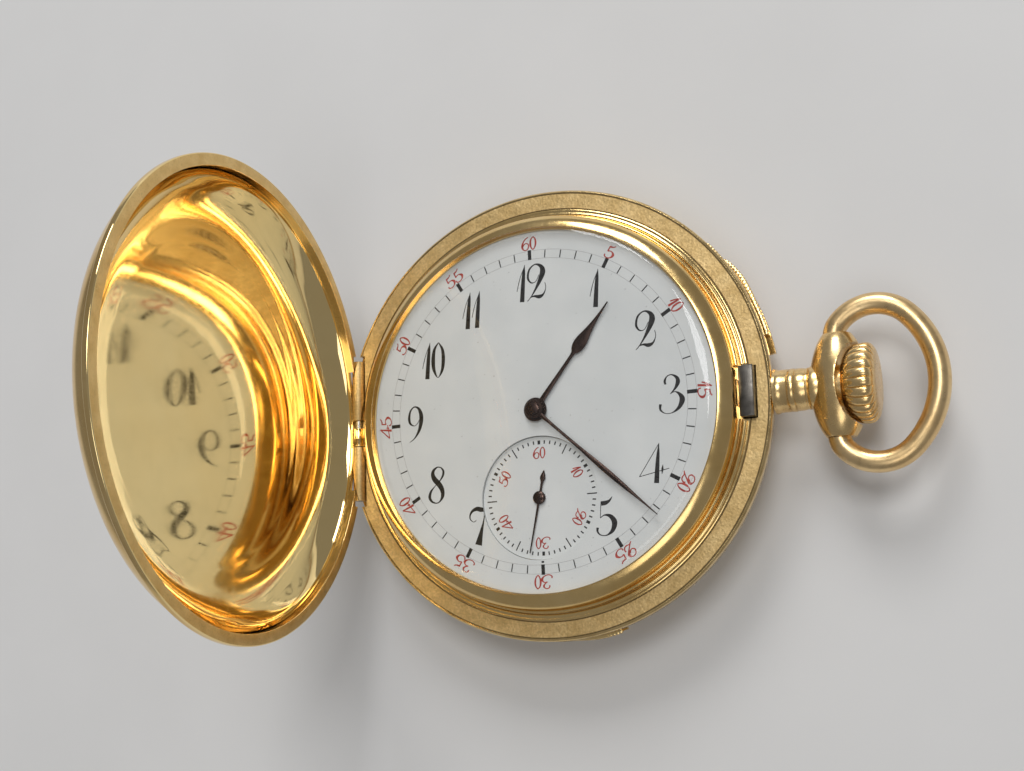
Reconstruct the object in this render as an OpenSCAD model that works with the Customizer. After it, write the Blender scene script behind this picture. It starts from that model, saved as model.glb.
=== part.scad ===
/* [Case] */
// Radius of the movement's main plate
plate_r = 21.5; // [21:0.1:22.5]
// Wall of the collar that carries the bezel
collar_t = 0.6; // [0.5:0.05:0.9]
// Height of the collar above the flange
collar_h = 0.8; // [0.6:0.05:1]
// Wall of the bezel round the collar
bezel_wall = 0.5; // [0.4:0.05:0.8]
// Width of the flat rim of each cover
cover_rim_w = 1.35; // [1.1:0.05:1.8]
// Thickness of the covers' domes
cover_t = 0.6; // [0.5:0.05:0.8]
// Thickness of the band's top flange
flange_t = 0.85; // [0.6:0.05:1]
// Height of the band's straight outer edge
band_edge_h = 1.2; // [0.9:0.1:1.6]
// How far the band draws in below its edge
band_taper = 1; // [0.8:0.05:1.4]
// Wall of the band round its hollow
band_wall = 1; // [0.7:0.05:1.1]
// Thickness of the ledge at the foot of the band
foot_t = 0.6; // [0.4:0.05:0.8]
// Width of the ledge that the main plate rests on
ledge_w = 1; // [0.8:0.05:1.2]
// Depth of the main plate's seat below the flange
seat_depth = 0.4; // [0.3:0.05:0.6]

/* [Front cover] */
// Angle at which the front cover stands open
lid_open = 88; // [70:1:90]
// Radius of the front cover's inner corner
lid_corner_r = 3.6; // [3:0.1:4]
// Slope of the dome where it meets the corner
lid_slope = 10; // [8:0.5:12]
// Room between the crystal and the closed cover
lid_room = 1.35; // [1.2:0.05:2]
// Thickness of the cover's rim moulding
lid_rim_t = 0.8; // [0.6:0.05:1]
// Depth of the catch groove in the cover's rim
catch_depth = 0.4; // [0.3:0.05:0.6]

/* [Back cover and cuvette] */
// Radius of the back cover's inner corner
back_corner_r = 2.2; // [1.8:0.1:2.6]
// Slope of the back's dome where it meets the corner
back_slope = 7.5; // [7:0.25:8.5]
// Straight wall between the back's corner and its rim
back_rim_h = 0.5; // [0.4:0.05:0.8]
// How deep the crown of the back is flattened to rest on
back_flat = 0.16; // [0.1:0.02:0.24]
// How far the lifting lips stand out
lip_w = 1.4; // [1:0.1:1.6]
// Thickness of one layer of a lifting lip
lip_t = 0.45; // [0.3:0.05:0.5]
// Thickness of the inner cover
cuvette_t = 0.4; // [0.3:0.05:0.6]
// Room between the back cover and the inner cover
cuvette_room = 0.4; // [0.3:0.05:0.6]

/* [Hinges] */
// Half the length of the hinge chord
hinge_half = 9; // [8.5:0.1:9.5]
// Radius of a hinge knuckle
knuckle_r = 0.8; // [0.7:0.05:0.9]
// Radius of a hinge pin
hinge_pin_r = 0.4; // [0.3:0.02:0.5]
// Length of the front cover's knuckle
lid_knuckle_l = 2.2; // [1.8:0.1:3]
// Bare stretch of pin above the front cover's knuckle
pin_gap = 1; // [0.6:0.1:1.4]
// Length of the back cover's and the inner cover's knuckles
back_knuckle_l = 4; // [3:0.1:4.2]

/* [Latch] */
// Thickness of the latch head
latch_t = 1; // [0.8:0.05:1.3]
// Width of the latch head
latch_w = 5.5; // [4.5:0.1:6]
// Height of the latch head above the flange
latch_h = 1.2; // [0.9:0.05:1.4]
// Travel of the latch when the crown is pressed
latch_travel = 0.35; // [0.25:0.05:0.5]
// Thickness of the lock spring and the fly spring
spring_t = 0.4; // [0.3:0.05:0.5]

/* [Pendant, crown and bow] */
// Radius of the pendant's neck
neck_r = 2.15; // [1.9:0.05:2.3]
// Length of the pendant's neck
neck_l = 3.9; // [3.4:0.1:4.6]
// Length of the pendant's head along the stem, up to the crown's seat
head_l = 2.5; // [2.4:0.05:2.8]
// Distance of the bow's axis from the pendant's neck
bow_set = 2.65; // [2.5:0.05:2.8]
// Radius of the pendant's almond-shaped head about the bow's axis
head_r = 2.95; // [2.8:0.05:3.2]
// Reach of the head's horns to each side
horn_y = 5; // [4.9:0.1:5.4]
// Radius of the bow's wire and of the horns' ends
bow_wire_r = 1.15; // [1:0.05:1.3]
// Radius of the bow's sides
bow_side_r = 4.4; // [4.2:0.1:4.6]
// Radius of the bow's far end
bow_end_r = 9; // [8.8:0.1:9.6]
// Radius of the bow's pivot pins
bow_pin_r = 0.6; // [0.5:0.05:0.7]
// Radius of the crown
crown_r = 4.2; // [3.8:0.1:4.6]
// Length of the crown's fluted body
crown_l = 3.6; // [3.2:0.1:3.8]
// Number of flutes on the crown
crown_flutes = 24; // [18:1:28]
// Travel of the crown when it is pressed
crown_press = 0.5; // [0.4:0.05:0.6]
// Travel of the crown when it is pulled to set the hands
crown_pull = 1; // [0.6:0.1:1.2]
// Radius of the winding stem
stem_r = 0.7; // [0.6:0.02:0.8]
// Depth of the stem's axis below the main plate
stem_drop = 1.3; // [1.2:0.05:1.5]

/* [Dial and hands] */
// Thickness of the dial
dial_t = 0.7; // [0.5:0.05:0.9]
// Width of the dial's edge that the bezel hides
dial_cover = 0.5; // [0.4:0.05:0.8]
// Radius of the seconds dial
seconds_r = 7; // [6.6:0.1:7.2]
// Distance of the seconds dial from the centre
seconds_y = 9.95; // [9.8:0.05:10.2]
// How deep the seconds dial is sunk
seconds_sink = 0.35; // [0.25:0.05:0.4]
// Thickness of the hands
hand_t = 0.2; // [0.15:0.01:0.25]
// Length of the hour hand
hour_l = 13.8; // [12:0.1:14.5]
// Length of the minute hand
minute_l = 18; // [16.5:0.1:18.3]
// Length of the seconds hand
seconds_l = 6.3; // [5.6:0.1:6.5]
// Direction of the hour hand from twelve, clockwise
hour_dir = 39.6; // [0:0.1:360]
// Direction of the minute hand from twelve, clockwise
minute_dir = 133.8; // [0:0.1:360]
// Direction of the seconds hand from sixty, clockwise
seconds_dir = 192; // [0:1:360]
// Thickness of the crystal
crystal_t = 0.6; // [0.5:0.05:0.7]
// Rise of the crystal's dome
crystal_rise = 0.7; // [0.5:0.05:0.9]

/* [Movement] */
// Thickness of the main plate
plate_t = 1.8; // [1.7:0.05:2.2]
// Height between the bridges and the main plate
train_h = 2.9; // [2.85:0.05:3.3]
// Thickness of the bridges
bridge_t = 0.95; // [0.9:0.05:1.2]
// Thickness of the ratchet and crown wheels
ratchet_t = 0.35; // [0.3:0.02:0.4]
// Thickness of the train wheels
wheel_t = 0.25; // [0.2:0.01:0.28]
// Radius of the train's arbors
arbor_r = 0.4; // [0.34:0.01:0.45]
// Radius of the train's pivots
pivot_r = 0.2; // [0.16:0.01:0.24]
// Radius of the jewels
jewel_r = 0.5; // [0.42:0.01:0.55]
// Radius of the balance wheel's rim
balance_r = 5.9; // [5.6:0.1:6]
// Radius of the bridge screws
screw_r = 0.5; // [0.4:0.02:0.55]
// Turns of the hairspring
hair_turns = 4.5; // [3.5:0.5:4.5]
// Turns of the mainspring
main_turns = 7; // [5:0.5:8]

/* [Clearances] */
// Running clearance of pins and pivots, on the radius
run_gap = 0.04; // [0.02:0.01:0.06]
// Clearance between pieces that seat on each other
seat_gap = 0.05; // [0.03:0.01:0.08]
// Clearance between pieces that pass each other
pass_gap = 0.1; // [0.08:0.01:0.15]

/* [Hidden] */
$fn = 96;
big = 100;
corner_steps = 8;
dome_steps = 8;

// Radii, from the movement outwards
seat_r = plate_r + 2 * pass_gap;
dial_r = plate_r - 3 * pass_gap;
dial_view_r = dial_r - dial_cover;
collar_r = seat_r + collar_t;
bezel_bore_r = collar_r + seat_gap;
bezel_r = bezel_bore_r + bezel_wall;
latch_x0 = bezel_r + pass_gap + latch_travel;
latch_x1 = latch_x0 + latch_t;
lid_in_r = norm([latch_x1 + pass_gap, latch_w / 2]);
lid_r = lid_in_r + cover_rim_w;
case_r = lid_r + pass_gap;
foot_r = case_r - band_taper;
hollow_r = foot_r - band_wall;
back_r = foot_r - pass_gap;
foot_w = 0.35;
back_in_r = back_r - cover_rim_w + foot_w;
cuvette_r = back_in_r - 1;
cuvette_lip = 0.6;
ledge_r = seat_r - ledge_w;
ledge_t = 0.5;
ledge_wall = 0.6;
edge_break = 0.2;
bridge_r = ledge_r - 4 * pass_gap;
hinge_x = -sqrt(case_r * case_r - hinge_half * hinge_half);

// Heights, from the resting face up to the closed cover
back_join_r = back_in_r - back_corner_r * (1 - sin(back_slope));
back_dome_r = back_join_r / sin(back_slope);
back_join_z = cover_t - back_flat + back_dome_r * (1 - cos(back_slope));
back_corner_z = back_join_z + back_corner_r * cos(back_slope);
back_rim_z = back_corner_z + back_rim_h;
band_z = back_rim_z + seat_gap;
cuvette_z = back_join_z + cuvette_room;
movement_z = cuvette_z + cuvette_t + 0.25;
regulator_t = 0.2;
cock_z = movement_z + regulator_t + seat_gap;
cock_t = 0.5;
ratchet_z = movement_z + 0.15;
bridge_z = ratchet_z + ratchet_t + pass_gap;
bridge_top = bridge_z + bridge_t;
plate_z = bridge_top + train_h;
plate_top = plate_z + plate_t;
dial_z = plate_top + pass_gap;
dial_top = dial_z + dial_t;
flange_z = plate_z + seat_depth;
stem_z = plate_z - stem_drop;
hour_hand_z = dial_top + 0.25;
minute_hand_z = hour_hand_z + hand_t + 0.15;
seconds_top = dial_top - seconds_sink;
seconds_hand_z = seconds_top + 0.15;
crystal_r = dial_view_r + 0.2;
crystal_shelf = dial_top + seat_gap + 0.32;
crystal_top = minute_hand_z + hand_t + 0.25 + crystal_t + crystal_rise;
lid_rim_z = flange_z + seat_gap;
lid_join_r = lid_in_r - lid_corner_r * (1 - sin(lid_slope));
lid_dome_r = lid_join_r / sin(lid_slope);
lid_apex_z = crystal_top + lid_room;
lid_join_z = lid_apex_z - lid_dome_r * (1 - cos(lid_slope));
lid_corner_z = lid_join_z - lid_corner_r * cos(lid_slope);

// Hinge axes and beds
bed = knuckle_r + 0.15;
front_hinge_z = flange_z - pass_gap;
back_hinge_z = band_z - pass_gap;
bed_half = hinge_half + 0.3;
web_half = 0.5;
bite = 0.05;
lid_knuckle_y = 0.3;
pin_half = hinge_half - 0.4;

// Places of the movement's arbors, in a layout drawn for a plate of 21.5 mm
layout = plate_r / 21.5;
barrel_teeth = 84;
centre_leaves = 12;
barrel_m = 0.2 * layout;
centre_teeth = 80;
third_leaves = 10;
centre_m = 0.16 * layout;
third_teeth = 75;
fourth_leaves = 10;
third_m = 0.14 * layout;
fourth_teeth = 70;
escape_leaves = 7;
fourth_m = 0.115 * layout;
cannon_leaves = 12;
minute_teeth = 36;
cannon_m = 0.16 * layout;
minute_leaves = 10;
hour_teeth = 40;
ratchet_teeth = 68;
crown_teeth = 40;
ratchet_m = 0.22 * layout;
escape_teeth = 15;
barrel_dir = 60;
third_side = 1;
escape_dir = 195;
minute_wheel_dir = 20;
function mesh_distance(a, b, m) = m * (a + b) / 2;
function polar(r, a) = [r * cos(a), r * sin(a)];
function dir(a, b) = atan2(b[1] - a[1], b[0] - a[0]);
barrel_d = mesh_distance(barrel_teeth, centre_leaves, barrel_m);
barrel_xy = polar(barrel_d, barrel_dir);
fourth_xy = [0, -seconds_y];
third_d = mesh_distance(centre_teeth, third_leaves, centre_m);
fourth_d = mesh_distance(third_teeth, fourth_leaves, third_m);
third_along = (third_d * third_d - fourth_d * fourth_d + seconds_y * seconds_y) / (2 * seconds_y);
third_xy = [third_side * sqrt(third_d * third_d - third_along * third_along), -third_along];
escape_d = mesh_distance(fourth_teeth, escape_leaves, fourth_m);
escape_xy = fourth_xy + polar(escape_d, escape_dir);
escape_r = 2.9 * layout;
pallet_d = 1.155 * escape_r + pass_gap;
pallet_dir = 150;
pallet_xy = escape_xy + polar(pallet_d, pallet_dir);
lever_l = 4.4 * layout;
pallet_arm = 1.75 * layout;
lever_dir = 140;
balance_xy = pallet_xy + polar(lever_l, lever_dir);
motion_d = mesh_distance(cannon_leaves, minute_teeth, cannon_m);
minute_m = 2 * motion_d / (minute_leaves + hour_teeth);
minute_wheel_xy = polar(motion_d, minute_wheel_dir);
ratchet_d = mesh_distance(ratchet_teeth, crown_teeth, ratchet_m);
crown_wheel_xy = [barrel_xy[0] + sqrt(ratchet_d * ratchet_d - barrel_xy[1] * barrel_xy[1]), 0];
ratchet_r = ratchet_m * ratchet_teeth / 2;
click_dir = 150;
click_pivot = barrel_xy + polar(ratchet_r + 2.2, click_dir);
click_beak = barrel_xy + polar(ratchet_r + 0.55, click_dir - 16);
click_r = 0.9;
click_post_r = 0.4;
crown_boss = 1;

// Levels of the train between the bridges and the main plate
centre_wheel_z = bridge_top + 0.35;
barrel_z = centre_wheel_z + wheel_t + 0.2;
barrel_h = plate_z - 0.2 - barrel_z;
tooth_h = 0.6;
barrel_r = barrel_m * barrel_teeth / 2;
barrel_wall = 0.3;
barrel_arbor_r = 1.3;
barrel_pivot_r = 0.8;
square_half = 0.8;
pivot_in = 0.8;
pivot_z = bridge_z + 0.1;
pivot_end = plate_z + pivot_in + edge_break;
drum_r = barrel_r - barrel_m * 1.25 - seat_gap;
third_wheel_z = centre_wheel_z + 1.1;
fourth_wheel_z = third_wheel_z + 0.8;
escape_wheel_z = centre_wheel_z + 0.35;
balance_h = 0.5;
balance_z = bridge_top - 0.4;
hair_h = 0.15;
hair_z = balance_z - 0.1 - hair_h;
collet_r = 0.55;
hair_start = collet_r + 2 * seat_gap;
hair_pitch = 0.5;
hair_t = 0.07;
echo(least_gap_of_the_hairspring_to_itself = hair_pitch - hair_t);
balance_rim = 0.6;
balance_arm = 0.7;
balance_screws = 12;
balance_cut_r = balance_r + 0.9;
pallet_cock_z = balance_z + balance_h + 0.12;
pallet_cock_t = 0.25;
motion_floor = plate_top - 1.05;
minute_wheel_z = motion_floor + 0.15;
hour_wheel_z = minute_wheel_z + wheel_t + 0.12;
minute_post_r = 0.3;
cannon_r = 0.62;
cannon_arbor_r = 0.35;
hour_pipe_r = 0.95;
seconds_arbor_r = 0.22;

// Outlines, feet and screws of the bridges
train_x = [-5 * layout, 7.2 * layout];
train_y = [-5.8 * layout, 2.2 * layout];
barrel_edge_x = -8.5 * layout;
bridge_gap = 0.3;
foot_in = 1.15;
barrel_feet = [polar(bridge_r - foot_in, 23), polar(bridge_r - foot_in, 107)];
train_feet = [polar(bridge_r - foot_in, -50), polar(bridge_r - foot_in, -91)];
cock_foot = balance_xy + polar(11.9 * layout, 115);
pallet_foot = pallet_xy + polar(5.1 * layout, -110);
foot_radius = 1.3;
pallet_foot_r = 1.2;
cock_foot_r = 2.6;
screw_head_t = 0.3;
case_screw_r = bridge_r - 0.2;
case_screw_places = [for (a = [35, 215]) polar(case_screw_r, a)];
dial_feet = [for (a = [145, -42]) polar(16 * layout, a)];
dial_foot_r = 0.4;

// Pendant, crown and bow along the stem
neck_x = case_r + seat_gap;
head_x = neck_x + neck_l;
head_face = head_x + head_l;
head_half = horn_y / sqrt(1 - pow(bow_wire_r / head_r, 2));
cup_r = 2.4;
cup_depth = crown_press + 0.7;
crown_x = head_face + crown_press + pass_gap;
crown_boss_r = cup_r - 2 * pass_gap;
bow_x = head_x + bow_set;
bow_end_angle = 150;
bow_eye_y = horn_y + seat_gap + bow_wire_r * sin(bow_end_angle);
bow_side_c = [bow_x - bow_side_r * cos(bow_end_angle), bow_eye_y - bow_side_r * sin(bow_end_angle)];
bow_swing = asin(bow_side_c[1] / (bow_end_r - bow_side_r));
bow_far_x = bow_side_c[0] - (bow_end_r - bow_side_r) * cos(bow_swing);
// Stations along the bow: the centre, radius and angle of the arc they lie on
function bow_arc(c, r, a0, a1, steps, first) =
  [for (i = [first:steps]) [c[0], c[1], r, a0 + (a1 - a0) * i / steps]];
bow_sides = 16;
bow_path = concat(
  bow_arc([bow_side_c[0], -bow_side_c[1]], bow_side_r, -bow_end_angle, -bow_swing, 12, 0),
  bow_arc([bow_far_x, 0], bow_end_r, -bow_swing, bow_swing, 10, 1),
  bow_arc(bow_side_c, bow_side_r, bow_swing, bow_end_angle, 12, 1)
);
crown_room = crown_r + 2 * pass_gap;
bow_pin_in = horn_y - crown_room - pass_gap;
stem_bore_r = stem_r + run_gap;
stem_end_x = crown_x + crown_l - 1;
spigot_r = 1.2;
spring_h = 1;
pillar_w = 4.4;
pillar_x0 = bridge_r - pillar_w / 2;
pinion_l = 1.6;
pinion_x = pillar_x0 - pinion_l - pass_gap;
clutch_l = 1.8;
clutch_x = pinion_x - clutch_l - 0.3 - crown_press;
winding_r = stem_z - bridge_z - seat_gap;
winding_room = winding_r + pass_gap;

// Colours
gold = "#c89b3c";
steel = "#8d9096";
dark_steel = "#3c2d28";
brass_gilt = "#b9953f";
enamel = "#e9ebe8";

// Builds its children in the closed cover's place, turned open about the front hinge
module opened() {
  translate([hinge_x, 0, front_hinge_z])
    rotate([0, -lid_open, 0])
      translate([-hinge_x, 0, -front_hinge_z])
        children();
}

// Points along an arc about the point c
function arc_points(c, r, a0, a1, steps) = [for (i = [0:steps]) c + polar(r, a0 + (a1 - a0) * i / steps)];

// Ring of rectangular section
module ring(r_in, r_out, z, h) {
  translate([0, 0, z])
    difference() {
      cylinder(r = r_out, h = h);
      translate([0, 0, -1]) cylinder(r = r_in, h = h + 2);
    }
}

// Round bar along Y through the point (x, z)
module bar_y(x, z, r, y0, y1) {
  translate([x, y1, z])
    rotate([90, 0, 0])
      cylinder(r = r, h = y1 - y0, $fn = 48);
}

// Round bar along X at the stem's height
module bar_x(r, x0, x1) {
  translate([x0, 0, stem_z])
    rotate([0, 90, 0])
      cylinder(r = r, h = x1 - x0);
}

// Turns a profile of [x, radius] about the stem's axis
module turned_x() {
  translate([0, 0, stem_z])
    rotate([0, 90, 0])
      rotate([0, 0, 90])
        rotate_extrude()
          rotate(90)
            mirror([0, 1])
              children();
}

// Box between two corners
module box(a, b) {
  translate(a) cube(b - a);
}

// Shell of a domed cover in the half plane, with its rim at z = 0 and its dome upwards
module cover_profile(in_r, corner_r, slope, wall_h) {
  corner = [in_r - corner_r, wall_h];
  dome_r = (in_r - corner_r * (1 - sin(slope))) / sin(slope);
  dome_c = [0, wall_h + (corner_r - dome_r) * cos(slope)];
  polygon(concat(
    [[in_r + cover_t, 0]],
    arc_points(corner, corner_r + cover_t, 0, 90 - slope, corner_steps),
    arc_points(dome_c, dome_r + cover_t, 90 - slope * (1 - 1 / dome_steps), 90, dome_steps - 1),
    arc_points(dome_c, dome_r, 90, 90 - slope * (1 - 1 / dome_steps), dome_steps - 1),
    arc_points(corner, corner_r, 90 - slope, 0, corner_steps),
    [[in_r, 0]]
  ));
}

// Toothed outline: straight-flanked teeth, one of them centred on the angle phase
module toothed(teeth, m, phase) {
  pitch = 360 / teeth;
  root = m * (teeth / 2 - 1.25);
  tip = m * (teeth / 2 + 0.85);
  polygon([
    for (i = [0:teeth - 1])
      for (c = [[root, -0.28], [tip, -0.09], [tip, 0.09], [root, 0.28]])
        polar(c[0], phase + (i + c[1]) * pitch)
  ]);
}

// Spoked wheel with teeth
module train_wheel(teeth, m, phase, z, t, spokes, hub_r) {
  rim = m * (teeth / 2 - 1.25) - 0.45;
  spoke_w = 0.45;
  translate([0, 0, z])
    linear_extrude(t)
      difference() {
        toothed(teeth, m, phase);
        difference() {
          circle(rim);
          circle(hub_r);
          for (i = [0:spokes - 1])
            rotate(i * 360 / spokes) translate([0, -spoke_w / 2]) square([rim + 1, spoke_w]);
        }
      }
}

// Leaves of a pinion
module pinion(leaves, m, phase, z, h) {
  translate([0, 0, z])
    linear_extrude(h)
      toothed(leaves, m, phase);
}

// Arbor with a pivot at each end, from the bridge's jewel to the main plate
module arbor(z0, z1, p0, p1) {
  translate([0, 0, z0]) cylinder(r = arbor_r, h = z1 - z0);
  translate([0, 0, p0]) cylinder(r = pivot_r, h = p1 - p0, $fn = 32);
}

// Flat spiral ribbon, starting at the angle 0
module spiral(r0, pitch, turns, t) {
  steps = round(turns * 24);
  function at(i, side) = polar(r0 + pitch * i / 24 + side * t / 2, i * 15);
  polygon(concat(
    [for (i = [0:steps]) at(i, 1)],
    [for (i = [steps:-1:0]) at(i, -1)]
  ));
}

// Bar with round ends in the plane
module link(a, b, ra, rb) {
  d = norm(b - a);
  turn = dir(a, b);
  lean = asin((ra - rb) / d);
  translate(a) circle(ra, $fn = 48);
  translate(b) circle(rb, $fn = 48);
  polygon([
    a + polar(ra, turn + 90 - lean),
    a + polar(ra, turn - 90 + lean),
    b + polar(rb, turn - 90 + lean),
    b + polar(rb, turn + 90 - lean)
  ]);
}

// Screws at the given places, with heads below the level z
module screws_at(places, z, top, r) {
  for (p = places)
    translate([p[0], p[1], 0])
      difference() {
        union() {
          translate([0, 0, z - screw_head_t]) cylinder(r = 1.8 * r, h = screw_head_t, $fn = 48);
          translate([0, 0, z]) cylinder(r = r, h = top - z, $fn = 48);
        }
        translate([-big, -0.1, z - screw_head_t - 1]) cube([2 * big, 0.2, 1.12]);
      }
}

// Holes for those screws
module screw_holes(places) {
  for (p = places)
    translate([p[0], p[1], 0]) cylinder(r = screw_r + run_gap, h = plate_top, $fn = 48);
}

module case_band() color(gold) {
  difference() {
    union() {
      rotate_extrude($fn = 180)
        polygon([
          [ledge_r, plate_z - ledge_t], [ledge_r, plate_z], [seat_r, plate_z], [seat_r, flange_z + collar_h],
          [collar_r, flange_z + collar_h], [collar_r, flange_z], [case_r - edge_break, flange_z],
          [case_r, flange_z - edge_break], [case_r, flange_z - band_edge_h], [foot_r, band_z],
          [hollow_r - foot_w, band_z], [hollow_r - foot_w, band_z + foot_t], [hollow_r, band_z + foot_t],
          [hollow_r, flange_z - flange_t], [seat_r + ledge_wall, flange_z - flange_t],
          [seat_r + ledge_wall, plate_z - ledge_t]
        ]);
      // Solid block between the two hinge beds
      intersection() {
        box(
          [-case_r, -bed_half - web_half, band_z],
          [hinge_x + bed + knuckle_r, bed_half + web_half, flange_z - flange_t + edge_break]
        );
        cylinder(r = foot_r - bite, h = big);
        difference() {
          cylinder(r = big, h = big);
          cylinder(r = cuvette_r, h = big);
        }
      }
    }
    // Beds of the front and back hinges
    box([-case_r - 1, -bed_half, front_hinge_z - bed], [hinge_x + bed, bed_half, big]);
    box([-case_r - 1, -bed_half, 0], [hinge_x + bed, bed_half, back_hinge_z + bed]);
    // Slot for the latch, hole for the pendant's spigot
    box(
      [latch_x0 - latch_travel - pass_gap, -latch_w / 2 - pass_gap, flange_z - flange_t - 0.1],
      [latch_x1 + pass_gap, latch_w / 2 + pass_gap, flange_z + 0.1]
    );
    bar_x(spigot_r + seat_gap, hollow_r - 1, case_r + 1);
  }
  // Knuckles and their webs
  for (s = [[-pin_half, lid_knuckle_y - lid_knuckle_l - pass_gap], [lid_knuckle_y + pin_gap, pin_half]])
    difference() {
      union() {
        bar_y(hinge_x, front_hinge_z, knuckle_r, s[0], s[1]);
        box(
          [hinge_x - web_half, s[0], front_hinge_z - bed - bite],
          [hinge_x + web_half, s[1], front_hinge_z]
        );
      }
      bar_y(hinge_x, front_hinge_z, hinge_pin_r + seat_gap / 2, s[0] - 1, s[1] + 1);
    }
  for (s = [[-pin_half, -back_knuckle_l - 2 * pass_gap], [back_knuckle_l + 2 * pass_gap, pin_half]])
    difference() {
      union() {
        bar_y(hinge_x, back_hinge_z, knuckle_r, s[0], s[1]);
        box([hinge_x - web_half, s[0], back_hinge_z], [hinge_x + web_half, s[1], back_hinge_z + bed + bite]);
      }
      bar_y(hinge_x, back_hinge_z, hinge_pin_r + seat_gap / 2, s[0] - 1, s[1] + 1);
    }
}

module front_hinge_pin() color(steel)
  bar_y(hinge_x, front_hinge_z, hinge_pin_r, -pin_half, pin_half);

module back_hinge_pin() color(steel)
  bar_y(hinge_x, back_hinge_z, hinge_pin_r, -pin_half, pin_half);

module front_cover() color(gold)
  opened() {
    difference() {
      union() {
        difference() {
          rotate_extrude($fn = 180)
            translate([0, lid_rim_z]) {
              cover_profile(lid_in_r, lid_corner_r, lid_slope, lid_corner_z - lid_rim_z);
              polygon([
                [lid_in_r + cover_t / 2, 0], [lid_r - 0.15, 0], [lid_r, 0.15], [lid_r, lid_rim_t - 0.25],
                [lid_r - 0.25, lid_rim_t], [lid_in_r + cover_t / 2, lid_rim_t]
              ]);
            }
          box([-case_r - 1, -bed_half, 0], [hinge_x + bed, bed_half, front_hinge_z + bed]);
          // Groove that the latch snaps into
          box(
            [lid_in_r - 1, -latch_w / 2, lid_rim_z + 0.35],
            [lid_in_r + catch_depth, latch_w / 2, lid_rim_z + 0.95]
          );
        }
        bar_y(hinge_x, front_hinge_z, knuckle_r, lid_knuckle_y - lid_knuckle_l, lid_knuckle_y);
        box(
          [hinge_x - 0.6, lid_knuckle_y - lid_knuckle_l, front_hinge_z],
          [hinge_x + 0.1, lid_knuckle_y, front_hinge_z + bed + 0.3]
        );
      }
      bar_y(hinge_x, front_hinge_z, hinge_pin_r + run_gap, -hinge_half, hinge_half);
    }
  }

// Lifting lip of the back cover between two angles
module lip(a0, a1, z, reach) {
  rotate([0, 0, a0])
    rotate_extrude(angle = a1 - a0, $fn = 180)
      translate([back_in_r + web_half, z]) square([back_r + reach - back_in_r - web_half, lip_t]);
}

module back_cover() color(gold)
  difference() {
    union() {
      difference() {
        union() {
          rotate_extrude($fn = 180)
            translate([0, back_rim_z])
              mirror([0, 1]) {
                cover_profile(back_in_r, back_corner_r, back_slope, back_rim_h);
                polygon([
                  [back_in_r + cover_t / 2, 0], [back_r, 0], [back_r, 0.35], [back_in_r + cover_t / 2, 0.85]
                ]);
              }
          lip(10, 36, back_rim_z - lip_t, lip_w);
          lip(14, 32, back_rim_z - 2 * lip_t, 0.7 * lip_w);
          lip(-108, -72, back_rim_z - lip_t, 0.8 * lip_w);
        }
        box([-case_r - 1, -bed_half, back_hinge_z - bed], [hinge_x + bed, bed_half, big]);
        box([-big, -big, -1], [big, big, 0]);
      }
      bar_y(hinge_x, back_hinge_z, knuckle_r, -back_knuckle_l - pass_gap, -pass_gap);
      box(
        [hinge_x, -back_knuckle_l - pass_gap, back_hinge_z - bed - 0.6],
        [hinge_x + bed, -pass_gap, back_hinge_z - 0.1]
      );
    }
    bar_y(hinge_x, back_hinge_z, hinge_pin_r + run_gap, -hinge_half, hinge_half);
  }

module cuvette() color(gold) {
  wall_r = cuvette_r - cuvette_lip;
  lip_z = band_z - 0.5;
  difference() {
    union() {
      rotate_extrude($fn = 180)
        polygon([
          [0, cuvette_z], [wall_r - 1, cuvette_z], [wall_r, cuvette_z + 0.9], [wall_r, lip_z],
          [cuvette_r, lip_z], [cuvette_r, band_z - seat_gap], [wall_r - cuvette_t, band_z - seat_gap],
          [wall_r - cuvette_t, cuvette_z + 1.1], [wall_r - 1.1, cuvette_z + cuvette_t],
          [0, cuvette_z + cuvette_t]
        ]);
      bar_y(hinge_x, back_hinge_z, knuckle_r, pass_gap, back_knuckle_l + pass_gap);
      box(
        [hinge_x, pass_gap, lip_z],
        [-wall_r + cuvette_t / 2, back_knuckle_l + pass_gap, band_z - seat_gap]
      );
    }
    bar_y(hinge_x, back_hinge_z, hinge_pin_r + run_gap, -hinge_half, hinge_half);
  }
}

module bezel() color(gold)
  rotate_extrude($fn = 180)
    intersection() {
      polygon([
        [bezel_bore_r, flange_z + pass_gap], [bezel_r, flange_z + pass_gap], [bezel_r, big],
        [crystal_r + seat_gap, big], [crystal_r + seat_gap, crystal_shelf], [dial_view_r, crystal_shelf],
        [dial_view_r, dial_top + seat_gap], [seat_r + seat_gap, dial_top + seat_gap],
        [seat_r + seat_gap, flange_z + collar_h + seat_gap], [bezel_bore_r, flange_z + collar_h + seat_gap]
      ]);
      translate([bezel_r - 2.5, dial_top - 1.7]) circle(2.6, $fn = 180);
    }

module crystal() color("#dfe8ea", 0.35) {
  top_r = crystal_r - 0.8;
  dome = (top_r * top_r + crystal_rise * crystal_rise) / (2 * crystal_rise);
  dome_c = [0, crystal_top - dome];
  lean = asin(top_r / dome);
  shelf = crystal_shelf + 0.03;
  rotate_extrude($fn = 180)
    polygon(concat(
      [[crystal_r, shelf], [crystal_r, shelf + 0.4]],
      arc_points(dome_c, dome, 90 - lean, 90, dome_steps),
      arc_points(dome_c, dome - crystal_t, 90, 90 - lean, dome_steps),
      [[top_r - 0.1, shelf]]
    ));
}

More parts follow.
